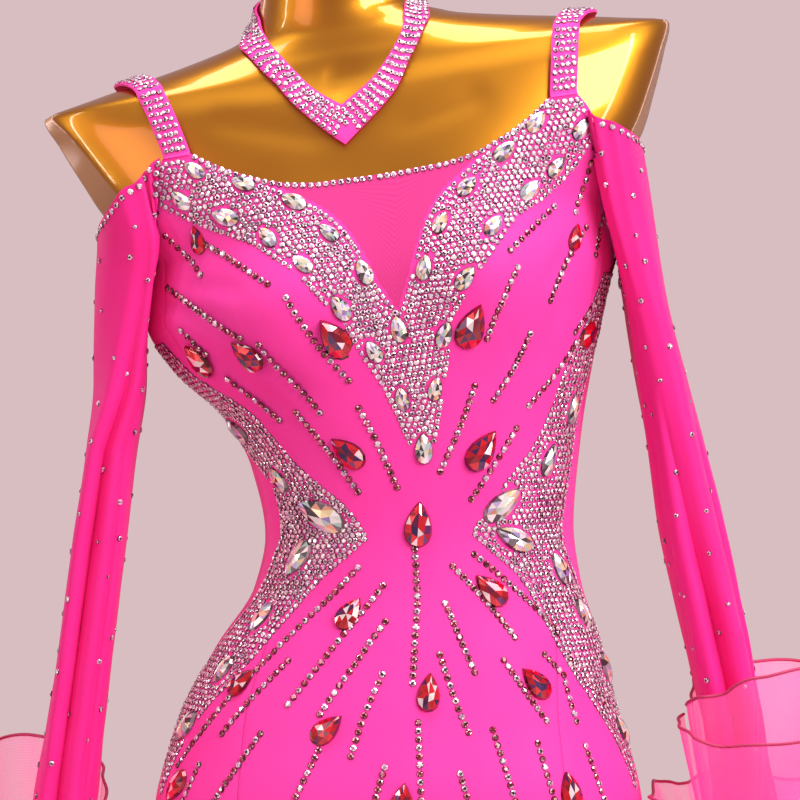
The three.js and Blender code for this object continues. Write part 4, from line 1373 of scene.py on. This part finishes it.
def seam_relief(s, t, width, ripple=0.12):
    """A seam's channel at both side edges, with the small pucker of its stitches."""
    edge = np.minimum(s, 1 - s) * width
    pucker = np.sin(t * 2 * np.pi * PUCKERS) * bell(edge - PUCKER_AWAY, PUCKER_WIDE)
    return ripple * pucker - CHANNEL_DEEP * bell(edge, CHANNEL_WIDE)


def panel_relief(surface, width):
    """A panel's seams and creases. Heights and turns are read back from its points."""
    def relief(s, t):
        x, y, z = np.moveaxis(surface(s, t), -1, 0)
        lean, across = np.radians(SECTION["lean"](z)), x - SECTION["shift"](z)
        height = z - across * np.sin(lean) / np.cos(lean)
        turn = np.degrees(np.arctan2(across, -y))
        return seam_relief(s, t, width) + crease_relief(height, turn)

    return relief


def stands_for(piece, node, slot, **cut):
    """Hides the node that a cloth piece stands for. The piece, its finish and the sheet it was cut
    from are given but not used.
    """
    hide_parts(node)


# The bodice's panels: both seams, top edge, how far the middle column is moved, columns,
# width across in millimetres, and the cut's width, length and area in metres.
PANELS = {
    "bodice_front": (lambda h: -FRONT_SEAM(h), FRONT_SEAM, front_top, V_TURN, 144, 300,
                     0.33, 0.50, 0.115),
    "bodice_side_right": (FRONT_SEAM, BACK_SEAM, ARMHOLE_UNDER, 0, 60, 160, 0.20, 0.45, 0.061),
    "bodice_side_left": (lambda h: -BACK_SEAM(h), lambda h: -FRONT_SEAM(h),
                         lambda turn: ARMHOLE_UNDER(-turn), 0, 60, 160, 0.20, 0.45, 0.061),
    "bodice_back": (BACK_SEAM, lambda h: 360 - BACK_SEAM(h), back_top, 0, 96, 240,
                    0.29, 0.50, 0.097),
}
PANEL_ROWS = 120


class GOWN_OT_bodice(Operator):
    """Makes the front, side and back panels and the mesh neck inset"""

    bl_idname = "gown.make_bodice"
    bl_label = "Bodice panels"

    def execute(self, context):
        crepe = finish_of("stretch_crepe")
        for name, (low, high, top, middle, columns, across, width, length, area) in PANELS.items():
            surface = panel_surface(low, high, top, middle)
            panel = cloth_wall(name, surface, columns, PANEL_ROWS, CLOTH_INSIDE, CLOTH_OUTSIDE,
                               crepe, relief=panel_relief(surface, across))
            stands_for(panel, name, "crepe", flat=(width, length), held="stretched",
                       rests_on=["form_torso"], area=area)
        inset = cloth_wall("neck_inset", inset_surface, 48, 32, CLOTH_INSIDE, CLOTH_OUTSIDE,
                           finish_of("power_mesh"))
        stands_for(inset, "neck_inset", "mesh", flat=(0.11, 0.10), held="stretched",
                   rests_on=["form_torso"], area=0.0048)
        return {"FINISHED"}


STRAP_TOP = CLOTH_OUTSIDE + 0.3
STRAP_STONE_PITCH = 4.55             # along a strap
STRAP_COLUMNS, STRAP_COLUMN_STEP = 4, 0.215
CHOKER_INSIDE, CHOKER_TOP = 2.2, 3.6
CHOKER_STONE_PITCH = 3.7
CHOKER_BAND = (0.1, 0.84)            # where its stones lie, as shares of its width


def strap_relief(s, t):
    """The foot laps over the bodice's edge, and the side edges roll under."""
    return 1.5 * np.clip((0.004 - t) / 0.006, 0, 1) - 0.5 * bell(np.minimum(s, 1 - s), 0.05)


class GOWN_OT_straps(Operator):
    """Makes the shoulder straps and the choker with their stones"""

    bl_idname = "gown.make_straps"
    bl_label = "Straps and choker"

    def execute(self, context):
        crepe, clear = finish_of("stretch_crepe"), finish_of("clear_crystal")
        rng = np.random.default_rng(5)
        for name, sleeve in SLEEVES.items():
            surface = strap_surface(sleeve["side"])
            strap = cloth_wall(f"strap_{name}", lapped(surface), 16, 120, CLOTH_INSIDE, STRAP_TOP,
                               crepe, relief=strap_relief)
            length = run_length(surface(np.full(80, 0.5), np.linspace(0, 1, 80)))[-1]
            rows = int(length / STRAP_STONE_PITCH)
            columns = np.arange(STRAP_COLUMNS) - (STRAP_COLUMNS - 1) / 2
            s, t = np.meshgrid(0.5 + STRAP_COLUMN_STEP * columns, (np.arange(rows) + 0.5) / rows)
            s = s + 0.035 * np.sin(np.arange(rows) * 2.4)[:, None]
            s = s + rng.uniform(-0.015, 0.015, s.shape)
            t = t + (rng.uniform(-0.09, 0.09, t.shape) + 0.12 * (s - 0.5)) / rows
            spots = spots_on(surface, s.ravel(), np.clip(t, 0.002, 1).ravel(), STRAP_TOP)
            half = rng.choice([1.8, 2.0, 2.15], len(spots[0]))
            stones = set_rounds(f"strap_{name}_stones", spots, half,
                                rng.uniform(0, 45, len(half)), clear, 7)
            stands_for(strap, f"strap_{name}", "stone_band", flat=(0.0175, 0.29),
                       held="stretched", rests_on=["form_torso"], with_pieces=[stones])

        choker = cloth_wall("choker", choker_surface, 240, 12, CHOKER_INSIDE, CHOKER_TOP, crepe,
                            closed=True,
                            relief=lambda s, t: -0.5 * bell(np.minimum(t, 1 - t), 0.06))
        length = run_length(choker_surface(np.linspace(0, 1, 241), np.full(241, 0.5)))[-1]
        ends = choker_surface(np.array([0.25, 0.25]), np.array([0.0, 1.0]))
        width = np.linalg.norm(ends[1] - ends[0])
        low, high = CHOKER_BAND
        outline = np.array([(2, low), (length - 2, low), (length - 2, high), (2, high)])
        stones, chips = packed(outline * (1, width), CHOKER_STONE_PITCH, np.zeros((0, 3)), 8)
        flat = np.concatenate([stones, chips]) / (length, width)
        # The band's lower corner stays free at the point, where its two edges meet.
        flat = flat[(np.abs(flat[:, 0] - 0.5) > 0.012) | (flat[:, 1] > 0.3)]
        spots = spots_on(choker_surface, flat[:, 0], flat[:, 1], CHOKER_TOP, closed=True)
        half = rng.choice([1.7, 1.9, 2.1], len(flat))
        stones = set_rounds("choker_stones", spots, half, rng.uniform(0, 45, len(half)), clear, 9)
        stands_for(choker, "choker", "stone_band", flat=(0.02, 0.40), held="hung",
                   rests_on=["form_torso"], with_pieces=[stones])
        return {"FINISHED"}


SLEEVE_STONES_ROUND = 6
RIM_STONES_AT, RIM_STONE_PITCH = 0.992, 6.5


def sleeve_relief(sleeve, number):
    """Slow drags that wander round the sleeve, short ones near its wrist, and gathers below
    the head's front, where it joins the strap."""
    def relief(s, t):
        drag = 1.0 * np.sin(2 * np.pi * (4 * s + 0.6 * np.sin(3.1 * t + number)))
        short = 0.7 * np.sin(2 * np.pi * (9 * t + 2 * np.sin(2 * np.pi * s))) * (1 - t) ** 3
        away = away_at(sleeve, s)
        gathers = 1.5 * np.sin(np.radians(away * 15)) * bell(away - 122, 32) * bell(1 - t, 0.16)
        return (drag + short) * np.clip(np.minimum(t, 1 - t) * 12, 0, 1) + gathers

    return relief


class GOWN_OT_sleeves(Operator):
    """Makes the two long sleeves with their scattered stones"""

    bl_idname = "gown.make_sleeves"
    bl_label = "Sleeves"

    def execute(self, context):
        crepe, clear = finish_of("shaded_crepe"), finish_of("clear_crystal")
        rows = context.scene.gown_sizes.sleeve_rows
        for number, (name, sleeve) in enumerate(SLEEVES.items()):
            surface, relief = sleeve_sheet(sleeve), sleeve_relief(sleeve, number)
            cloth = cloth_wall(f"sleeve_{name}", surface, 140, 150, 0, SLEEVE_THICK, crepe,
                               closed=True, relief=relief)
            rng = np.random.default_rng(20 + number)
            columns = np.arange(SLEEVE_STONES_ROUND) / SLEEVE_STONES_ROUND
            s, t = np.meshgrid(columns, (np.arange(rows) + 0.5) / rows)
            s = s + (np.arange(rows) % 2)[:, None] / (2 * SLEEVE_STONES_ROUND)
            s = s + rng.uniform(-0.04, 0.04, s.shape)
            t = np.clip(t + rng.uniform(-0.018, 0.018, t.shape), 0.03, 0.95)
            fine = np.arange(400) / 400
            reach = run_length(surface(fine, np.full(400, RIM_STONES_AT)))
            count = int(reach[-1] / RIM_STONE_PITCH)
            along = np.interp((np.arange(count) + 0.5) * reach[-1] / count, reach, fine)
            s = np.concatenate([s.ravel(), along])
            t = np.concatenate([t.ravel(), np.full(count, RIM_STONES_AT)])
            place, east, north, out = spots_on(surface, s, t, SLEEVE_THICK, closed=True)
            spots = (place + out * relief(s, t)[:, None], east, north, out)
            half = rng.choice([1.7, 2.2], len(s))
            half[-count:] = 2.3
            stones = set_rounds(f"sleeve_{name}_stones", spots, half,
                                rng.uniform(0, 45, len(half)), clear, 30 + number)
            stands_for(cloth, f"sleeve_{name}", "crepe", flat=(0.22, 0.50), held="hung",
                       rests_on=["form_torso"], area=0.095, with_pieces=[stones])
        return {"FINISHED"}


CUFF_INSIDE, CUFF_OUTSIDE = 0.3, 0.7
CORD_POINTS, CORD_SIDES = 300, 8


def cuff_relief(s, t):
    """Gathers that start at the seam, and small ripples, deepest at the rim."""
    gather = 0.9 * np.sin(2 * np.pi * (17 * s + 0.7 * np.sin(6.28 * 3 * s))) * t
    return gather + 1.2 * t ** 2 * np.sin(2 * np.pi * 9 * s + 1.5 * np.sin(6.28 * 2 * s))


class GOWN_OT_cuffs(Operator):
    """Makes the organza cuff tiers with their corded edges"""

    bl_idname = "gown.make_cuffs"
    bl_label = "Organza cuffs"

    def execute(self, context):
        radius = context.scene.gown_sizes.cord / MM
        for (side, level), tier in TIERS.items():
            name, closed = f"cuff_{side}_{level}", not tier["lap"]
            surface = cuff_sheet(SLEEVES[side], tier)
            cloth = cloth_wall(name, surface, 240, 22, CUFF_INSIDE, CUFF_OUTSIDE,
                               finish_of("organza"), closed=closed, relief=cuff_relief)
            s = np.arange(CORD_POINTS) / (CORD_POINTS - (not closed))
            rim, out = normals_of(surface, s, np.ones(CORD_POINTS), closed)
            path = rim + out * ((CUFF_INSIDE + CUFF_OUTSIDE) / 2 + cuff_relief(s, 1))[:, None]
            edge = cord_round(f"{name}_cord", path, out, radius, CORD_SIDES,
                              finish_of("corded_edge"), closed)
            stands_for(cloth, name, "organza", flat=tier["flat"], held="gathered",
                       rests_on=[f"sleeve_{side}"], with_pieces=[edge])
        return {"FINISHED"}


# Each gore's width at the hem and length, and the area of its flared shape, in metres.
GORE_CUTS = {"skirt_front": (0.80, 0.86, 0.40), "skirt_back": (0.88, 0.86, 0.45)}
SIDE_GORE_CUT = (0.52, 0.86, 0.235)
HEM_DEEP, HEM_PROUD = 24, 0.5


def gore_relief(s, t):
    """The seams' channels, and the double hem, which stands a little proud."""
    hem = HEM_PROUD * np.clip((HEM_DEEP - t * (HIP_SEAM - SKIRT_HEM)) / 1.5, 0, 1)
    return seam_relief(s, t, 100 + 400 * (1 - t), 0.1) + hem


class GOWN_OT_skirt(Operator):
    """Makes the six flared gores of the skirt"""

    bl_idname = "gown.make_skirt"
    bl_label = "Skirt gores"

    def execute(self, context):
        for name, low, high in zip(GORE_NAMES, GORE_EDGES, GORE_EDGES[1:]):
            width, length, area = GORE_CUTS.get(name, SIDE_GORE_CUT)
            gore = cloth_wall(name, gore_sheet(low, high), 60, 90, CLOTH_INSIDE, CLOTH_OUTSIDE,
                              finish_of("stretch_crepe"), relief=gore_relief)
            stands_for(gore, name, "crepe", flat=(width, length), held="hung",
                       rests_on=["bodice_front"], area=area)
        return {"FINISHED"}


INSET_EDGE = 18.6          # the V's ends, where the band's inner edge starts
BAND_OFF_INSET = 3.8
# The V band's end at its right shoulder; the left one mirrors it about the gown's middle.
SHOULDER = ((42.8, 1338), (39, 1350.5), (31, 1351), (26, 1340.5), (21, 1330.5))
# The smaller band stones and the chips, as shares of the largest.
BAND_SIZES, BAND_ODDS, CHIP_SIZE = (0.82, 0.93, 1), (0.25, 0.35, 0.4), 0.5
NECK_STONES_END, NECK_STONES_LOW, NECK_STONES_PITCH, NECK_STONE = 29, 1.6, 4.9, 4.4


def band_outlines():
    """Outlines of the V band and the two side bands on the flat cloth."""
    away = np.concatenate([np.linspace(INSET_EDGE, V_TURN, 30),
                           np.linspace(V_TURN, -INSET_EDGE, 30)[1:]])
    inner = beside(laid_flat(np.stack([away + GOWN_TURN, v_edge(away)], 1)), BAND_OFF_INSET)
    outlines = {"v": np.concatenate([
        laid_flat([(row[1], row[0]) for row in V_BAND]),
        laid_flat([(row[2], row[0]) for row in V_BAND[::-1]]), laid_flat(SHOULDER), inner,
        laid_flat([(2 * GOWN_TURN - turn, height) for turn, height in SHOULDER[::-1]])])}
    for name, side, column in (("left", -1, 2), ("right", 1, 3)):
        outlines[name] = laid_flat([(side * row[1], row[0]) for row in SIDE_BAND]
                                   + [(side * row[column], row[0]) for row in SIDE_BAND[::-1]])
    return outlines


class GOWN_OT_stones(Operator):
    """Sets the bodice's stones: the V band, the side bands, the rays and the drops"""

    bl_idname = "gown.set_stones"
    bl_label = "Bodice stones"

    def execute(self, context):
        sizes, clear = context.scene.gown_sizes, finish_of("clear_crystal")
        biggest = sizes.band_stone / MM / 2
        taken = np.concatenate([discs_under(V_DROPS, V_SLIM), discs_under(SIDE_DROPS, SIDE_SLIM)])
        for number, (name, outline) in enumerate(band_outlines().items()):
            stones, chips = packed(outline, sizes.band_pitch / MM, taken, 40 + number)
            flat = np.concatenate([stones, chips])
            rng = np.random.default_rng(50 + number)
            half = rng.choice(BAND_SIZES, len(flat), p=BAND_ODDS) * biggest
            half[len(stones):] = CHIP_SIZE * biggest
            set_rounds(f"band_{name}_stones", spots_on_flat(flat), half,
                       rng.uniform(0, 45, len(flat)), clear, 60 + number)

        runs = [walk(laid_flat(ray), sizes.ray_pitch / MM) for ray in RAYS]
        flat = np.concatenate(runs)
        spots = spots_on_flat(flat)
        # Along a ray a few wine stones alternate with one or two clear ones.
        step = np.concatenate([np.arange(len(run)) + 5 * number for number, run in enumerate(runs)])
        is_wine = (step * 7 % 11) % 3 != 1
        spin = np.random.default_rng(70).uniform(0, 45, len(flat))
        for name, chosen, palette in (("wine", is_wine, WINE_TINT_AND_REFLECTIONS), ("clear", ~is_wine, CLEAR_REFLECTIONS)):
            set_rounds(f"ray_{name}_stones", tuple(part[chosen] for part in spots),
                       sizes.ray_stone / MM / 2, spin[chosen], finish_of(f"{name}_crystal"), 71,
                       palette)

        away = np.linspace(-NECK_STONES_END, NECK_STONES_END, 60)
        edge = np.stack([away + GOWN_TURN, NECKLINE(np.abs(away)) - NECK_STONES_LOW], 1)
        flat = walk(laid_flat(edge), NECK_STONES_PITCH)
        set_rounds("neckline_stones", spots_on_flat(flat), NECK_STONE / 2, spin[:len(flat)],
                   clear, 72)

        for name, rows, slim, power, palette, tint in (
                ("red_drops", RED_DROPS, 0.6, 0.8, RED_TINT_AND_REFLECTIONS, "red"),
                ("side_drops", SIDE_DROPS, SIDE_SLIM, 0.45, RAINBOW_REFLECTIONS, "rainbow"),
                ("v_drops", V_DROPS, V_SLIM, 0.4, RAINBOW_REFLECTIONS, "rainbow")):
            spots, lean = drop_spots(rows)
            long = rows[:, 4] / 2
            set_stones(name, drop_cut(power), spots, long, long * slim, lean, palette,
                       finish_of(f"{tint}_crystal"), 80)
        return {"FINISHED"}


STEPS = (GOWN_OT_stage, GOWN_OT_form, GOWN_OT_bodice, GOWN_OT_straps, GOWN_OT_sleeves,
         GOWN_OT_cuffs, GOWN_OT_skirt, GOWN_OT_stones)


class GOWN_PT_panel(Panel):
    """Lists the steps in the order they run, with the sizes and colours"""

    bl_idname = "GOWN_PT_panel"
    bl_label = "Ballroom dance gown"
    bl_space_type = "VIEW_3D"
    bl_region_type = "UI"
    bl_category = "Gown"

    def draw(self, context):
        for step in STEPS:
            self.layout.operator(step.bl_idname)
        for group in (context.scene.gown_sizes, context.scene.gown_colours):
            box = self.layout.box()
            for name in group.__annotations__:
                box.prop(group, name)


CLASSES = (GownSizes, GownColours, *STEPS, GOWN_PT_panel)


def register():
    for each in CLASSES:
        bpy.utils.register_class(each)
    bpy.types.Scene.gown_sizes = PointerProperty(type=GownSizes)
    bpy.types.Scene.gown_colours = PointerProperty(type=GownColours)


def unregister():
    del bpy.types.Scene.gown_colours
    del bpy.types.Scene.gown_sizes
    for each in reversed(CLASSES):
        bpy.utils.unregister_class(each)


def main():
    register()
    for step in STEPS:
        group, name = step.bl_idname.split(".")
        getattr(getattr(bpy.ops, group), name)()
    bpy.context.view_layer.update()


if __name__ == "__main__":
    main()
